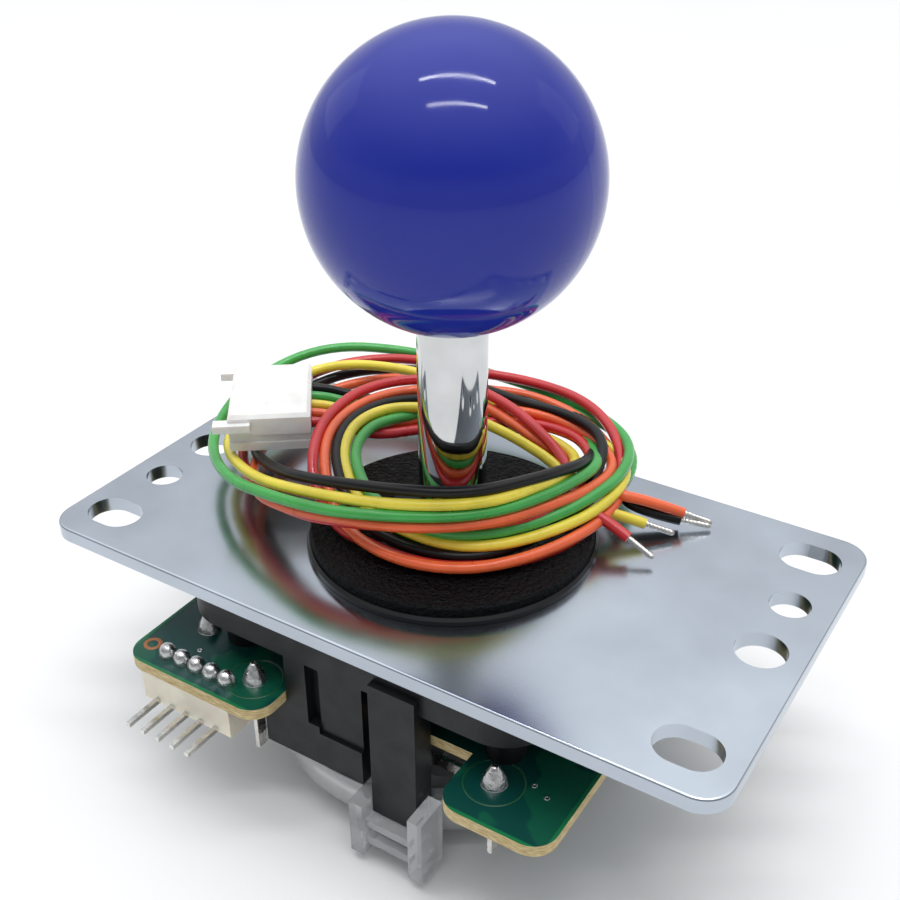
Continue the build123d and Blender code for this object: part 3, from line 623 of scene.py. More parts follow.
Finish = Moulded | Metal | Clear | BallGloss | GrainedCover | SolderMask


class Insulation(Enum):
    """Colours of the lead's five wires, linear."""

    RED = (0.58, 0.022, 0.028)
    ORANGE = (0.83, 0.13, 0.035)
    YELLOW = (0.81, 0.67, 0.055)
    GREEN = (0.045, 0.37, 0.065)
    BLACK = (0.0045, 0.0045, 0.005)

    @property
    def word(self) -> str:
        """The colour's name as the nodes have it."""
        return self.name.lower()


def dress(material: bpy.types.Material, *nodes: str) -> None:
    """Give CAD nodes a material through their own slots.

    Args:
        material: The material.
        nodes: Names of the CAD nodes.
    """
    for node in nodes:
        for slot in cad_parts[node].material_slots:
            slot.material = material
    log.info("%s on %s", material.name, ", ".join(nodes))


def settle(
    piece: bpy.types.Object, body: str, slot: str, material: bpy.types.Material, *nodes: str
) -> bpy.types.Object:
    """Put a new piece on its body with its finish, in place of CAD nodes.

    Args:
        piece: The piece.
        body: The body that it moves with.
        slot: Name of the slot of its finish; not used.
        material: Its material.
        nodes: CAD nodes that it stands for.

    Returns:
        The piece.
    """
    piece.data.materials.append(material)
    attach(piece, body)
    if nodes:
        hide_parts(*nodes)
    log.info("%s rides on %s", piece.name, body)
    return piece


@dataclass(frozen=True)
class Lamp:
    """A soft rectangular light. Lengths are in millimetres.

    Args:
        name: The light's name.
        place: Its place.
        size: Its width and its height.
        power: Its power in watts.
        target: The point that it faces. Without one it hangs level and faces down.
    """

    name: str
    place: Place
    size: Span
    power: float
    target: Place | None = None

    def hang(self, azimuth: float) -> None:
        """Add the light to the scene.

        Args:
            azimuth: Turn of a level light about Z in degrees.
        """
        lamp = bpy.data.lights.new(self.name, "AREA")
        lamp.shape = "RECTANGLE"
        lamp.size, lamp.size_y = (MM * side for side in self.size)
        lamp.energy = self.power
        turn = Matrix.Rotation(math.radians(azimuth), 4, "Z")
        if self.target:
            away = (Vector(self.place) - Vector(self.target)).normalized()
            turn = away.to_track_quat("Z", "Y").to_matrix().to_4x4()
        piece = bpy.data.objects.new(self.name, lamp)
        piece.matrix_world = Matrix.Translation(Vector(self.place) * MM) @ turn
        bpy.context.scene.collection.objects.link(piece)
        log.info("%s lit", self.name)


@dataclass
class Studio:
    """Camera at the photograph's angle, pale floor and soft light.

    Args:
        eye: Camera's place in millimetres.
        azimuth: Camera's angle from the -Y side towards +X, in degrees.
        elevation: Camera's angle above the horizon.
        roll: Camera's turn about its own axis.
        lens: Focal length in millimetres.
        sensor: Width of the sensor in millimetres.
        shift: Shift of the picture to the right and up, in picture widths.
        floor_height: Height of the floor in millimetres.
        floor_half: Half the floor's side in metres.
        bright_way: Direction from which most light comes.
        bright_range: Dot products with it for the dimmest and the brightest colour.
        dim: Colour of the room on the dim side.
        bright: Colour of the room on the bright side.
        horizon: Heights of a direction where the even light near the horizon starts and is full.
        horizon_share: How bright that light is, from dim to bright.
        zenith: Heights of a direction between which the light grows overhead.
        strength: Strength of the light below and overhead.
        lamps: The lights.
    """

    eye: Place = (71.1, -113.0, 93.1)
    azimuth: float = 32.421
    elevation: float = 32.047
    roll: float = -0.181
    lens: float = 48.86
    sensor: float = 36.0
    shift: Span = (0.002, 0.0266)
    floor_height: float = -32.05
    floor_half: float = 4.0
    bright_way: Place = (-0.35, 0.6, 0.72)
    bright_range: Span = (-0.4, 0.75)
    dim: Colour = (0.1, 0.105, 0.115)
    bright: Colour = (0.97, 0.98, 1.0)
    horizon: Span = (0.42, 0.2)
    horizon_share: float = 0.64
    zenith: Span = (0.4, 1.0)
    strength: Span = (0.74, 1.9)
    lamps: tuple[Lamp, ...] = (
        Lamp("left_window", (-800, 30, 400), (420, 360), 0.15, (0, 0, 48)),
        Lamp("right_window", (430, 640, 430), (300, 420), 0.1, (0, 0, 48)),
        Lamp("far_strip", (10, 95, 1050), (760, 40), 2.4),
        Lamp("near_strip", (225, -240, 1050), (700, 40), 2.0),
    )

    def camera(self) -> None:
        """Place the camera and make it the scene's.

        Its axes are right, up and back, for back = (sin a cos e, -cos a cos e, sin e).
        """
        turn, rise = math.radians(self.azimuth), math.radians(self.elevation)
        back = Vector(
            (math.sin(turn) * math.cos(rise), -math.cos(turn) * math.cos(rise), math.sin(rise))
        )
        level = Vector((math.cos(turn), math.sin(turn), 0.0))
        roll = math.radians(self.roll)
        right = math.cos(roll) * level + math.sin(roll) * back.cross(level)
        axes = Matrix((right, back.cross(right), back)).transposed().to_4x4()
        camera = bpy.data.objects.new("camera", bpy.data.cameras.new("camera"))
        camera.matrix_world = Matrix.Translation(Vector(self.eye) * MM) @ axes
        camera.data.lens = self.lens
        camera.data.sensor_width = self.sensor
        camera.data.shift_x, camera.data.shift_y = self.shift
        camera.data.clip_start, camera.data.clip_end = 0.005, 20.0
        bpy.context.scene.collection.objects.link(camera)
        bpy.context.scene.camera = camera

    def floor(self) -> None:
        """Lay a pale, square floor under the lever."""
        half, height = self.floor_half, self.floor_height * MM
        corners = [(-half, -half), (half, -half), (half, half), (-half, half)]
        mesh = bpy.data.meshes.new("floor")
        mesh.from_pydata([(x, y, height) for x, y in corners], [], [(0, 1, 2, 3)])
        floor = bpy.data.objects.new("floor", mesh)
        bpy.context.scene.collection.objects.link(floor)
        shading = Shading("floor_pale", (0.8, 0.8, 0.8), 0.6)
        cloud = shading.spread(shading.noise(size=400.0))
        shading.paint(shading.blend(cloud, (0.78, 0.78, 0.785), (0.82, 0.82, 0.82)))
        mesh.materials.append(shading.material)

    def sky(self) -> None:
        """Light the room, brighter overhead and behind the lever than on the camera's side.

        The light in a direction grows with its dot product with the bright direction, and
        is even near the horizon, where a direction's Z is small. It is strongest overhead.
        """
        world = bpy.data.worlds.new("studio_room")
        bpy.context.scene.world = world
        world.use_nodes = True
        tree = world.node_tree
        way = tree.nodes.new("ShaderNodeTexCoord").outputs["Generated"]
        facing = tree.nodes.new("ShaderNodeVectorMath")
        facing.operation = "DOT_PRODUCT"
        facing.inputs[1].default_value = Vector(self.bright_way).normalized()
        tree.links.new(way, facing.inputs[0])
        share = map_range(tree, facing.outputs["Value"], self.bright_range, FULL)
        split = tree.nodes.new("ShaderNodeSeparateXYZ")
        tree.links.new(way, split.inputs[0])
        height = split.outputs["Z"]
        level = map_range(tree, height, self.horizon, (0.0, self.horizon_share))
        most = tree.nodes.new("ShaderNodeMath")
        most.operation = "MAXIMUM"
        tree.links.new(share, most.inputs[0])
        tree.links.new(level, most.inputs[1])
        ramp = tree.nodes.new("ShaderNodeValToRGB")
        for stop, colour in zip(ramp.color_ramp.elements, (self.dim, self.bright)):
            stop.color = (*colour, 1.0)
        tree.links.new(most.outputs["Value"], ramp.inputs["Fac"])
        background = tree.nodes["Background"]
        tree.links.new(ramp.outputs["Color"], background.inputs["Color"])
        strength = map_range(tree, height, self.zenith, self.strength, smooth=True)
        tree.links.new(strength, background.inputs["Strength"])

    def build(self) -> None:
        """Set up the camera, the floor, the room and the lights."""
        bpy.context.scene.view_settings.view_transform = "Standard"
        self.camera()
        self.floor()
        self.sky()
        for lamp in self.lamps:
            lamp.hang(self.azimuth)


@dataclass
class Harness:
    """The loose lead: five wires from the plug round the shaft, and their bare ends.

    Lengths are in millimetres. A station of a turn is (turns, radius, height): turns are counted
    clockwise from above, from the left of the picture, round the shaft. The points of a tail are
    plain places.

    Args:
        diameter: Outer diameter of a wire.
        plug_centre: Plan place of the plug.
        plug_turn: Turn of the plug in degrees.
        way_reach: Distance from the plug's centre to where a wire starts in its cavity.
        way_pitch: Spacing of the plug's ways.
        lead_out: Distance that a wire runs level out of its cavity.
        lead_knee: Distance from its start to where it turns towards the shaft.
        lead_run: Length after that turn.
        lead_bend: That turn in degrees.
        lead_heights: Heights of the four points of a wire's way out of the plug.
        zero_turn: Plan angle where the turns start to count, in degrees.
        steps: Control points of the spline in one turn.
        core: Outer radius of the twisted strands.
        core_length: Length of a bare end.
        core_sunk: How far a bare end starts inside its insulation.
        core_lobe: Depth of the grooves between the strands, as a share of the radius.
        core_twist: Turn of the strands in radians per millimetre.
    """

    diameter: float = 1.5
    plug_centre: tuple[float, float] = (-31.2, 1.7)
    plug_turn: float = 37.0
    way_reach: float = 4.1
    way_pitch: float = 2.5
    lead_out: float = 2.8
    lead_knee: float = 6.0
    lead_run: float = 4.5
    lead_bend: float = 13.0
    lead_heights: tuple[float, ...] = (9.7, 9.5, 8.5, 7.5)
    zero_turn: float = 212.4
    steps: int = 20
    core: float = 0.39
    core_length: float = 4.2
    core_sunk: float = 0.6
    core_lobe: float = 0.24
    core_twist: float = 1.9
    order: ClassVar[tuple[Insulation, ...]] = tuple(Insulation)
    tails: ClassVar[dict[Insulation, tuple[Place, ...]]] = {
        Insulation.ORANGE: ((16.8, 12.9, 5.2), (20.8, 15.6, 4.0), (25.1, 17.9, 2.2)),
        Insulation.BLACK: ((16.8, 15.2, 3.6), (20.3, 15.4, 2.2), (24.9, 17.5, 1.3)),
        Insulation.YELLOW: ((14.6, 9.2, 4.3), (18.4, 11.2, 3.5), (21.8, 12.9, 2.2)),
        Insulation.RED: ((14.4, 7.4, 5.6), (18.0, 8.4, 4.2), (21.6, 8.1, 2.7)),
        Insulation.GREEN: ((-30.0, 15.0, 4.6), (-34.0, 16.6, 4.2), (-38.0, 16.4, 3.2)),
    }
    # Stations in order from the plug to where the bare end leaves the turns
    turns: ClassVar[dict[Insulation, tuple[Place, ...]]] = {
        Insulation.BLACK: (
            (0.22, 26.2, 7.0), (0.26, 27.4, 7.0), (0.30, 28.2, 7.4), (0.35, 28.0, 7.0),
            (0.39, 25.5, 6.0), (0.43, 21.5, 6.8), (0.46, 18.8, 8.6), (0.49, 16.0, 10.0),
            (0.54, 12.3, 11.3), (0.62, 10.0, 12.3), (0.70, 9.6, 12.8), (0.75, 9.6, 12.9),
            (0.83, 10.3, 12.8), (0.91, 13.0, 12.2), (0.96, 16.5, 11.0), (1.01, 21.5, 9.0),
            (1.04, 26.5, 6.6), (1.07, 31.5, 5.0), (1.11, 36.0, 4.4), (1.15, 39.3, 5.2),
            (1.19, 39.0, 6.6), (1.22, 35.5, 7.4), (1.26, 28.5, 8.0), (1.31, 23.5, 8.5),
            (1.36, 23.2, 8.8), (1.40, 24.0, 9.0), (1.44, 22.8, 8.6), (1.47, 20.0, 7.6),
            (1.50, 17.0, 5.6), (1.56, 13.0, 4.0), (1.64, 11.0, 3.7), (1.72, 10.4, 3.7),
            (1.80, 9.8, 3.8), (1.89, 10.4, 4.0), (1.96, 12.4, 4.8), (2.02, 14.8, 7.0),
            (2.06, 17.0, 8.6), (2.10, 19.0, 9.6), (2.14, 20.5, 9.9), (2.19, 21.5, 9.6),
            (2.24, 22.6, 8.4), (2.29, 25.0, 7.6), (2.34, 27.0, 7.2), (2.39, 27.0, 6.4),
            (2.43, 24.4, 5.2),
        ),
        Insulation.YELLOW: (
            (0.22, 20.4, 6.6), (0.28, 20.5, 6.2), (0.34, 20.3, 6.0), (0.40, 19.8, 6.4),
            (0.46, 17.0, 8.2), (0.51, 14.0, 9.6), (0.58, 11.2, 10.7), (0.67, 10.4, 11.4),
            (0.75, 10.4, 11.6), (0.83, 11.6, 11.5), (0.91, 15.0, 10.9), (0.96, 19.0, 9.8),
            (1.00, 23.3, 8.3), (1.03, 29.0, 6.4), (1.06, 34.5, 5.0), (1.09, 39.0, 4.6),
            (1.13, 41.0, 5.6), (1.16, 41.0, 7.4), (1.19, 37.5, 8.8), (1.22, 30.5, 9.4),
            (1.26, 25.0, 8.6), (1.31, 22.0, 6.8), (1.37, 24.5, 5.8), (1.43, 26.5, 5.6),
            (1.46, 25.0, 6.0), (1.49, 22.0, 5.7), (1.53, 18.0, 5.3), (1.58, 14.0, 5.1),
            (1.64, 11.5, 4.9), (1.71, 10.0, 4.9), (1.81, 8.9, 5.1), (1.88, 9.2, 5.4),
            (1.94, 10.4, 5.6), (1.99, 12.2, 6.0), (2.04, 14.5, 7.6), (2.08, 17.0, 9.0),
            (2.12, 18.6, 9.8), (2.17, 19.6, 9.8), (2.22, 18.4, 9.4), (2.28, 15.8, 9.0),
            (2.35, 14.3, 8.2), (2.43, 15.8, 6.4), (2.47, 17.0, 5.0),
        ),
        Insulation.GREEN: (
            (0.22, 22.6, 6.0), (0.28, 24.0, 5.4), (0.34, 24.0, 5.6), (0.40, 22.8, 6.6),
            (0.44, 21.5, 7.8), (0.47, 19.8, 8.4), (0.50, 16.6, 8.9), (0.55, 13.2, 9.3),
            (0.63, 11.0, 9.8), (0.74, 10.6, 10.1), (0.84, 12.6, 10.2), (0.90, 16.2, 9.9),
            (0.94, 19.6, 9.3), (0.98, 23.6, 8.2), (1.01, 28.4, 6.8), (1.04, 34.0, 5.4),
            (1.07, 38.5, 4.8), (1.10, 42.5, 5.0), (1.13, 45.0, 6.4), (1.16, 46.0, 7.8),
            (1.19, 44.5, 8.4), (1.22, 40.5, 8.0), (1.27, 34.0, 7.2), (1.32, 31.2, 6.8),
            (1.37, 29.8, 6.8), (1.41, 28.6, 6.8), (1.44, 27.0, 7.0), (1.47, 23.8, 7.2),
            (1.50, 20.0, 7.0), (1.54, 15.6, 6.6), (1.60, 11.8, 6.3), (1.66, 10.0, 6.2),
            (1.71, 9.2, 6.2), (1.82, 8.8, 6.5), (1.90, 9.0, 6.9), (1.99, 10.8, 7.1),
            (2.04, 12.8, 7.6), (2.08, 15.2, 8.5), (2.12, 17.0, 9.2), (2.17, 17.8, 9.0),
            (2.22, 19.4, 7.6), (2.28, 24.0, 6.4), (2.33, 28.0, 6.0), (2.38, 30.0, 5.8),
            (2.43, 28.6, 5.0), (2.47, 24.0, 4.3), (2.51, 17.4, 3.9), (2.57, 11.6, 4.1),
            (2.64, 8.9, 4.3),
            (2.72, 8.3, 4.4), (2.80, 8.0, 4.4), (2.89, 8.6, 4.0), (2.96, 10.4, 3.5),
            (3.02, 14.0, 3.2), (3.06, 19.0, 3.2), (3.10, 25.0, 3.0), (3.14, 30.0, 3.6),
        ),
        Insulation.RED: (
            (0.21, 16.6, 7.0), (0.28, 18.5, 6.8), (0.35, 21.0, 7.2), (0.39, 22.0, 7.4),
            (0.42, 21.8, 7.2), (0.46, 19.5, 6.4), (0.51, 16.0, 6.4), (0.58, 12.2, 7.2),
            (0.66, 9.8, 7.6), (0.75, 9.2, 7.7), (0.84, 11.0, 7.8), (0.91, 15.4, 7.6),
            (0.95, 19.0, 6.8), (0.99, 23.0, 5.8), (1.03, 27.5, 4.6), (1.07, 33.5, 4.2),
            (1.11, 38.0, 4.4), (1.15, 41.0, 6.0), (1.19, 42.0, 7.2), (1.22, 38.0, 7.8),
            (1.25, 33.0, 8.0), (1.29, 30.8, 8.0), (1.33, 31.0, 8.0), (1.37, 29.8, 7.8),
            (1.40, 28.0, 7.4), (1.44, 25.5, 5.8), (1.48, 22.0, 4.4), (1.53, 18.5, 3.6),
            (1.57, 16.0, 3.2), (1.62, 13.8, 3.1), (1.68, 12.2, 3.1), (1.75, 11.5, 3.1),
            (1.82, 11.3, 3.1), (1.88, 11.8, 3.1), (1.93, 13.0, 3.1), (1.97, 15.6, 3.4),
            (2.00, 17.6, 5.0), (2.03, 19.2, 8.0), (2.06, 20.2, 9.6), (2.10, 21.8, 10.3),
            (2.14, 24.0, 10.5), (2.18, 26.0, 10.3), (2.22, 26.2, 10.1), (2.25, 25.0, 10.0),
            (2.29, 22.0, 9.8), (2.34, 18.6, 9.2), (2.39, 17.0, 8.2), (2.43, 17.0, 6.8),
            (2.47, 16.6, 6.0),
        ),
        Insulation.ORANGE: (
            (0.21, 18.6, 7.4), (0.27, 20.5, 7.8), (0.33, 22.0, 8.0), (0.38, 23.0, 7.8),
            (0.42, 23.8, 7.2), (0.445, 24.0, 6.8), (0.47, 22.0, 6.8), (0.50, 18.2, 7.2),
            (0.56, 13.2, 7.9), (0.64, 11.0, 8.4), (0.75, 10.6, 8.6), (0.84, 12.6, 8.6),
            (0.91, 16.0, 8.3), (0.95, 19.4, 7.6), (0.99, 24.0, 6.0), (1.03, 28.0, 4.6),
            (1.07, 30.5, 4.2), (1.11, 34.0, 4.0), (1.15, 37.0, 4.6), (1.18, 37.0, 5.4),
            (1.22, 34.0, 6.6), (1.25, 28.0, 7.6), (1.28, 26.2, 8.0), (1.33, 27.0, 8.0),
            (1.36, 27.5, 7.0), (1.40, 26.5, 5.8), (1.44, 25.0, 4.8), (1.48, 23.0, 4.2),
            (1.53, 18.9, 3.9), (1.58, 15.8, 3.8), (1.64, 13.8, 3.8), (1.72, 12.9, 3.8),
            (1.80, 12.6, 3.8), (1.88, 13.0, 3.8), (1.94, 14.0, 4.0), (1.99, 15.6, 4.8),
            (2.03, 17.2, 7.4), (2.06, 18.8, 9.0), (2.10, 20.4, 9.9), (2.14, 22.0, 10.1),
            (2.18, 23.4, 9.8), (2.23, 24.0, 9.4), (2.28, 21.5, 8.4), (2.33, 18.2, 7.8),
            (2.38, 17.0, 7.0), (2.43, 18.8, 5.8),
        ),
    }

    def lead(self, wire: Insulation) -> np.ndarray:
        """Give a wire's way from its cavity in the plug to where it joins the turns.

        Args:
            wire: The wire.

        Returns:
            Four control points.
        """
        side = (self.order.index(wire) - 2) * self.way_pitch
        along, across = plan_point(self.way_reach, side, self.plug_turn)
        start = np.array([self.plug_centre[0] + along, self.plug_centre[1] + across, 0.0])
        way = np.array([*plan_point(1, 0, self.plug_turn), 0.0])
        bend = np.array([*plan_point(1, 0, self.plug_turn - self.lead_bend), 0.0])
        knee = start + self.lead_knee * way
        route = np.stack([start, start + self.lead_out * way, knee, knee + self.lead_run * bend])
        route[:, 2] = self.lead_heights
        return route

    def coil(self, wire: Insulation) -> np.ndarray:
        """Carry a smooth curve through a wire's stations round the shaft.

        Between two stations, radius and height are cubics whose slopes at a station are those
        between its neighbours. A point is (r cos a, r sin a, z), with a falling by a full turn
        for each turn.

        Args:
            wire: The wire.

        Returns:
            Control points of the turns.
        """
        stations = np.array(self.turns[wire])
        turn, shape = stations[:, 0], stations[:, 1:]
        count = round((turn[-1] - turn[0]) * self.steps) + 1
        wanted = np.linspace(turn[0], turn[-1], count)
        slope = np.gradient(shape, turn, axis=0)
        slope[1:-1] = (shape[2:] - shape[:-2]) / (turn[2:] - turn[:-2])[:, None]
        left = np.clip(np.searchsorted(turn, wanted) - 1, 0, len(turn) - 2)
        gap = (turn[left + 1] - turn[left])[:, None]
        share = (wanted - turn[left])[:, None] / gap
        value = (
            (2 * share**3 - 3 * share**2 + 1) * shape[left]
            + (share**3 - 2 * share**2 + share) * gap * slope[left]
            + (3 * share**2 - 2 * share**3) * shape[left + 1]
            + (share**3 - share**2) * gap * slope[left + 1]
        )
        angle = np.radians(self.zero_turn) - 2 * np.pi * wanted
        radius = value[:, 0]
        return np.stack([radius * np.cos(angle), radius * np.sin(angle), value[:, 1]], axis=-1)

    def cord(self, wire: Insulation, material: bpy.types.Material) -> bpy.types.Object:
        """Make one wire as a round cord on a smooth spline.

        Args:
            wire: The wire.
            material: Its insulation.

        Returns:
            The cord.
        """
        route = MM * np.vstack([self.lead(wire), self.coil(wire), np.array(self.tails[wire])])
        name = f"cord_{wire.word}"
        curve = bpy.data.curves.new(name, "CURVE")
        curve.dimensions = "3D"
        line = curve.splines.new("NURBS")
        line.points.add(len(route) - 1)
        line.points.foreach_set("co", np.column_stack([route, np.ones(len(route))]).ravel())
        line.order_u = 3
        line.use_endpoint_u = True
        curve.resolution_u = 8
        curve.bevel_depth = self.diameter / 2 * MM
        curve.bevel_resolution = 4
        curve.use_fill_caps = True
        cord = bpy.data.objects.new(name, curve)
        bpy.context.scene.collection.objects.link(cord)
        nodes = (f"lead_{wire.word}", "wire_coil", f"tail_{wire.word}")
        return settle(cord, "frame", f"wire_{wire.word}", material, *nodes)

    def length_of(self, cord: bpy.types.Object) -> float:
        """Measure a cord along its spline.

        Args:
            cord: The cord.

        Returns:
            Its length in metres.
        """
        line = cord.data.copy()
        line.bevel_depth = 0.0
        bare = bpy.data.objects.new("measure", line)
        mesh = bare.to_mesh()
        places = np.empty(len(mesh.vertices) * 3)
        mesh.vertices.foreach_get("co", places)
        bare.to_mesh_clear()
        bpy.data.objects.remove(bare)
        bpy.data.curves.remove(line)
        return float(np.linalg.norm(np.diff(places.reshape(-1, 3), axis=0), axis=1).sum())

    def bare_end(self, wire: Insulation, material: bpy.types.Material) -> bpy.types.Object:
        """Make the twisted, tinned strands at a wire's end.

        Round the end's axis, radius = core (1 - lobe + lobe |cos 3(a - twist s)|), at the
        distance s and the angle a. It closes to a point over the last tenth of its length.

        Args:
            wire: The wire.
            material: The tinned copper.

        Returns:
            The piece.
        """
        before, end = (np.array(point) for point in self.tails[wire][-2:])
        way = (end - before) / np.linalg.norm(end - before)
        side = np.cross(way, (0.0, 0.0, 1.0))
        side /= np.linalg.norm(side)
        other = np.cross(way, side)
        rings = np.linspace(-self.core_sunk, self.core_length, 72)
        along = np.concatenate([rings[:1], rings, rings[-1:]])
        angle = np.linspace(0, 2 * np.pi, 36, endpoint=False)
        ridge = np.abs(np.cos(3 * (angle[None] - self.core_twist * along[:, None])))
        taper = np.clip((self.core_length - along) / (0.1 * self.core_length), 0.0, 1.0) ** 0.5
        taper[0] = 0.0
        radius = self.core * (1 - self.core_lobe + self.core_lobe * ridge) * taper[:, None]
        ring = np.cos(angle)[:, None] * side + np.sin(angle)[:, None] * other
        points = end + along[:, None, None] * way + radius[..., None] * ring[None]
        faces = grid_faces(len(along), len(angle))
        piece = closed_piece(f"bare_end_{wire.word}", MM * points.reshape(-1, 3), faces)
        return settle(piece, "frame", "tinned_copper", material, "tinned_ends")

    def insulation(self, wire: Insulation) -> bpy.types.Material:
        """Make a wire's insulation, which is duller where it is black.

        Args:
            wire: The wire.

        Returns:
            The material.
        """
        name = f"pvc_{wire.word}"
        if wire is Insulation.BLACK:
            return Moulded(name, wire.value, 0.34, 0.5, 0.008, coat=0.05, gloss=0.3).build()
        return Moulded(name, wire.value, 0.3, 0.5, 0.008, coat=0.25, soft=0.08).build()

    def build(self) -> None:
        tinned = Metal("tinned_strands", (0.7, 0.68, 0.64), 0.2, 0.8, 0.002).build()
        for wire in self.order:
            cord = self.cord(wire, self.insulation(wire))
            tuple(MM * self.lead(wire)[0])
            round(self.length_of(cord), 3)
            self.bare_end(wire, tinned)


@dataclass
class Board:
    """The circuit board's solder joints and marks. Lengths are in millimetres.

    Args:
        top: Height of the board's upper face.
        pin_first: Place along X of the first header pin.
        pin_row: Place along Y of the header's pins.
        pitch: Spacing of the pins.
        near: Plan place of a switch's near terminal, on the front side.
        far: Plan place of its far terminal.
        vias: Plan places of the plated holes, on the front side.
        mark: Plan place of the bare copper ring near the header.
        dome: Radius and height of a pin's joint.
        cone: Radius at the foot, radius at the head and height of a terminal's joint.
        sunk: How far the joints reach into the board.
        columns: Points round a joint.
    """

    top: float = -12.0
    pin_first: float = -26.0
    pin_row: float = -28.7
    pitch: float = 2.5
    near: tuple[float, float] = (-13.4, -26.2)
    far: tuple[float, float] = (21.5, -25.2)
    vias: tuple[tuple[float, float], ...] = ((25.7, -23.2), (27.8, -24.1))
    mark: tuple[float, float] = (-29.4, -28.0)
    dome: tuple[float, float] = (1.22, 1.95)
    cone: tuple[float, float, float] = (1.65, 0.45, 2.55)
    sunk: float = 0.05
    columns: int = 32

    def domes(self) -> np.ndarray:
        """Give the profile of a pin's joint, a tall and full dome.

        Over its rise t, from 0 to 1, radius = dome radius sqrt(1 - t^2.8).

        Returns:
            Radius and height, one row each.
        """
        radius, height = self.dome
        rise = np.linspace(0, 1, 17)
        shape = np.column_stack([radius * np.sqrt(1 - rise**2.8), height * rise])
        return np.vstack([(0.0, -self.sunk), (radius + 0.02, -self.sunk), shape])

    def cones(self) -> np.ndarray:
        """Give the profile of a terminal's joint, a full cone round the terminal's end.

        Over its rise t, from 0 to 1, radius = head + (foot - head) (1 - t^1.35).

        Returns:
            Radius and height, one row each.
        """
        foot, head, height = self.cone
        rise = np.linspace(0, 1, 17)
        shape = np.column_stack([head + (foot - head) * (1 - rise**1.35), height * rise])
        end = [(head - 0.07, height + 0.09), (0.0, height + 0.13)]
        return np.vstack([(0.0, -self.sunk), (foot + 0.15, -self.sunk), shape, end])

    def copies(
        self, name: str, profile: np.ndarray, places: list[tuple[float, float]]
    ) -> bpy.types.Object:
        """Make equal turned forms on the board as one piece.

        Args:
            name: The piece's name.
            profile: Radius and height of the form.
            places: Plan places of the copies.

        Returns:
            The piece.
        """
        centres = np.column_stack([np.array(places), np.full(len(places), self.top)])
        points = turned_profile(profile, centres, self.columns)
        faces = grid_faces(len(profile), self.columns, len(places))
        return closed_piece(name, MM * points, faces)

    def build(self) -> None:
        """Make the joints and the marks on the board."""
        sides = (0, 90, 180, 270)
        pins = [(self.pin_first + way * self.pitch, self.pin_row) for way in range(5)]
        ends = [plan_point(*end, side) for side in sides for end in (self.near, self.far)]
        # Rings of lighter mask lie round the front and back terminals only
        ringed = ends[:2] + ends[4:6]
        holes = [plan_point(*via, side) for side in sides for via in self.vias]
        tin = Metal("solder_tin", (0.6, 0.6, 0.6), 0.26, 0.9, 0.12).build()
        ink = Moulded("mask_light_green", (0.006, 0.075, 0.03), 0.3, 0.3, 0.004).build()
        copper = Moulded("copper_under_mask", (0.36, 0.13, 0.04), 0.4, 0.5, 0.02).build()
        for name, profile, places, slot, material, nodes in (
            ("pin_joints", self.domes(), pins, "solder", tin, ["solder_joints"]),
            ("terminal_joints", self.cones(), ends, "solder", tin, ["solder_joints"]),
            ("mask_halos", band_profile(3.5, 3.75, 0.02), ringed, "board_green", ink, []),
            ("copper_mark", band_profile(0.7, 1.25, 0.02), [self.mark], "solder", copper, []),
            ("board_vias", band_profile(0.12, 0.38, 0.05, 0.04), holes, "solder", tin, []),
        ):
            settle(self.copies(name, profile, places), "frame", slot, material, *nodes)


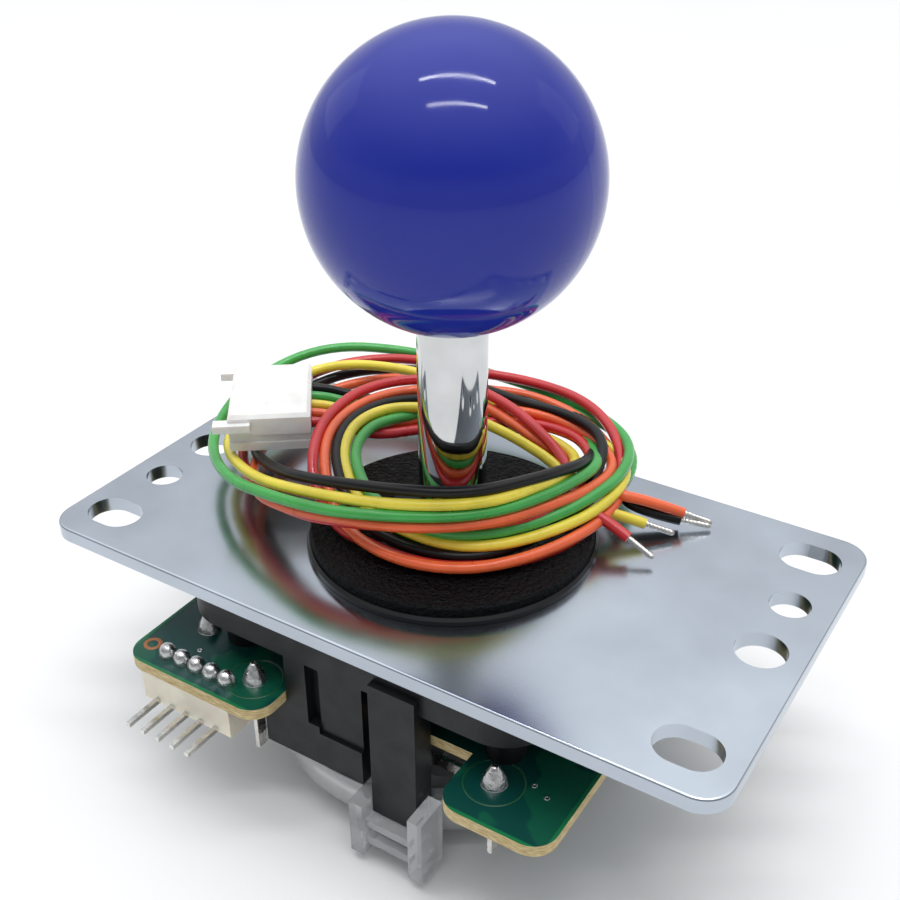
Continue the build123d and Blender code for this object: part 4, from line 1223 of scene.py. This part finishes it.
def dress_nodes() -> None:
    """Give every CAD node of the lever its material."""
    sides = ("front", "right", "back", "left")
    switches, plungers, terminals = (
        tuple(f"switch_{part}_{side}" for side in sides)
        for part in ("case", "plunger", "terminals")
    )
    black = (0.016, 0.016, 0.018)
    table: tuple[tuple[Finish, tuple[str, ...]], ...] = (
        (Metal("zinc_plate", (0.46, 0.51, 0.57), 0.2, 16.0, 0.0015), ("mounting_plate",)),
        (
            Metal("bright_steel", (0.6, 0.6, 0.62), 0.25, 3.0, 0.003),
            ("plate_screws", "washer", "e_clip"),
        ),
        (Metal("spring_steel", (0.4, 0.4, 0.42), 0.3, 2.0, 0.004), ("spring",)),
        (
            Metal("chrome_plate", (0.58, 0.59, 0.59), 0.05, 5.0, 0.0008, (1.0, 1.0, 0.1)),
            ("shaft",),
        ),
        (Metal("turned_brass", (0.72, 0.5, 0.2), 0.25, 1.5, 0.004), ("ball_insert",)),
        (
            Metal("tinned_pins", (0.72, 0.7, 0.66), 0.25, 1.0, 0.003),
            ("header_pins", "plug_terminals", "tinned_ends", *terminals),
        ),
        (Metal("solder_plain", (0.74, 0.75, 0.76), 0.2, 1.0, 0.005), ("solder_joints",)),
        (BallGloss("ball_gloss_blue", (0.014, 0.025, 0.27)), ("ball_top",)),
        (
            Moulded("housing_moulded", (0.005, 0.006, 0.007), 0.42, 0.25, 0.012, gloss=0.3),
            ("housing",),
        ),
        (
            Moulded("acetal_black", black, 0.4, 0.5, 0.004),
            ("pivot", "upper_spring_seat", "actuator"),
        ),
        (Moulded("switch_moulded", black, 0.38, 0.3, 0.008), switches),
        (Moulded("plunger_moulded", (0.5, 0.02, 0.015), 0.35, 0.5, 0.004), plungers),
        (
            Moulded("nylon_natural", (0.8, 0.75, 0.62), 0.36, 0.4, 0.008, soft=0.35),
            ("header_housing",),
        ),
        (GrainedCover("disc_grained", 10.15), ("dust_disc",)),
        (
            Moulded(
                "ring_gloss_black", (0.006, 0.006, 0.007), 0.22, 2.0, 0.006, coat=0.08, gloss=0.3
            ),
            ("dust_ring",),
        ),
        (SolderMask("board_mask_green", 31.0), ("circuit_board",)),
        (Clear("gate_smoky_clear", (0.93, 0.94, 0.95), 0.1), ("restrictor_gate",)),
        (Clear("dial_smoky_clear", (0.93, 0.94, 0.95), 0.12), ("gate_dial",)),
        (
            Moulded("plug_moulded", (0.88, 0.87, 0.84), 0.32, 0.6, 0.006, coat=0.15, soft=0.25),
            ("plug_housing",),
        ),
        (Moulded("coil_black", (0.02, 0.02, 0.022), 0.4, 0.5), ("wire_coil",)),
        *(
            (
                Moulded(f"lead_{wire.word}", wire.value, 0.34, 0.5),
                (f"lead_{wire.word}", f"tail_{wire.word}"),
            )
            for wire in Insulation
        ),
    )
    for finish, nodes in table:
        dress(finish.build(), *nodes)


def main() -> None:
    """Build the studio, the lead and the details, and dress every node."""
    logging.basicConfig(level=logging.INFO, format="%(message)s")
    Studio().build()
    Harness().build()
    Board().build()
    dress_nodes()


if __name__ == "__main__":
    main()
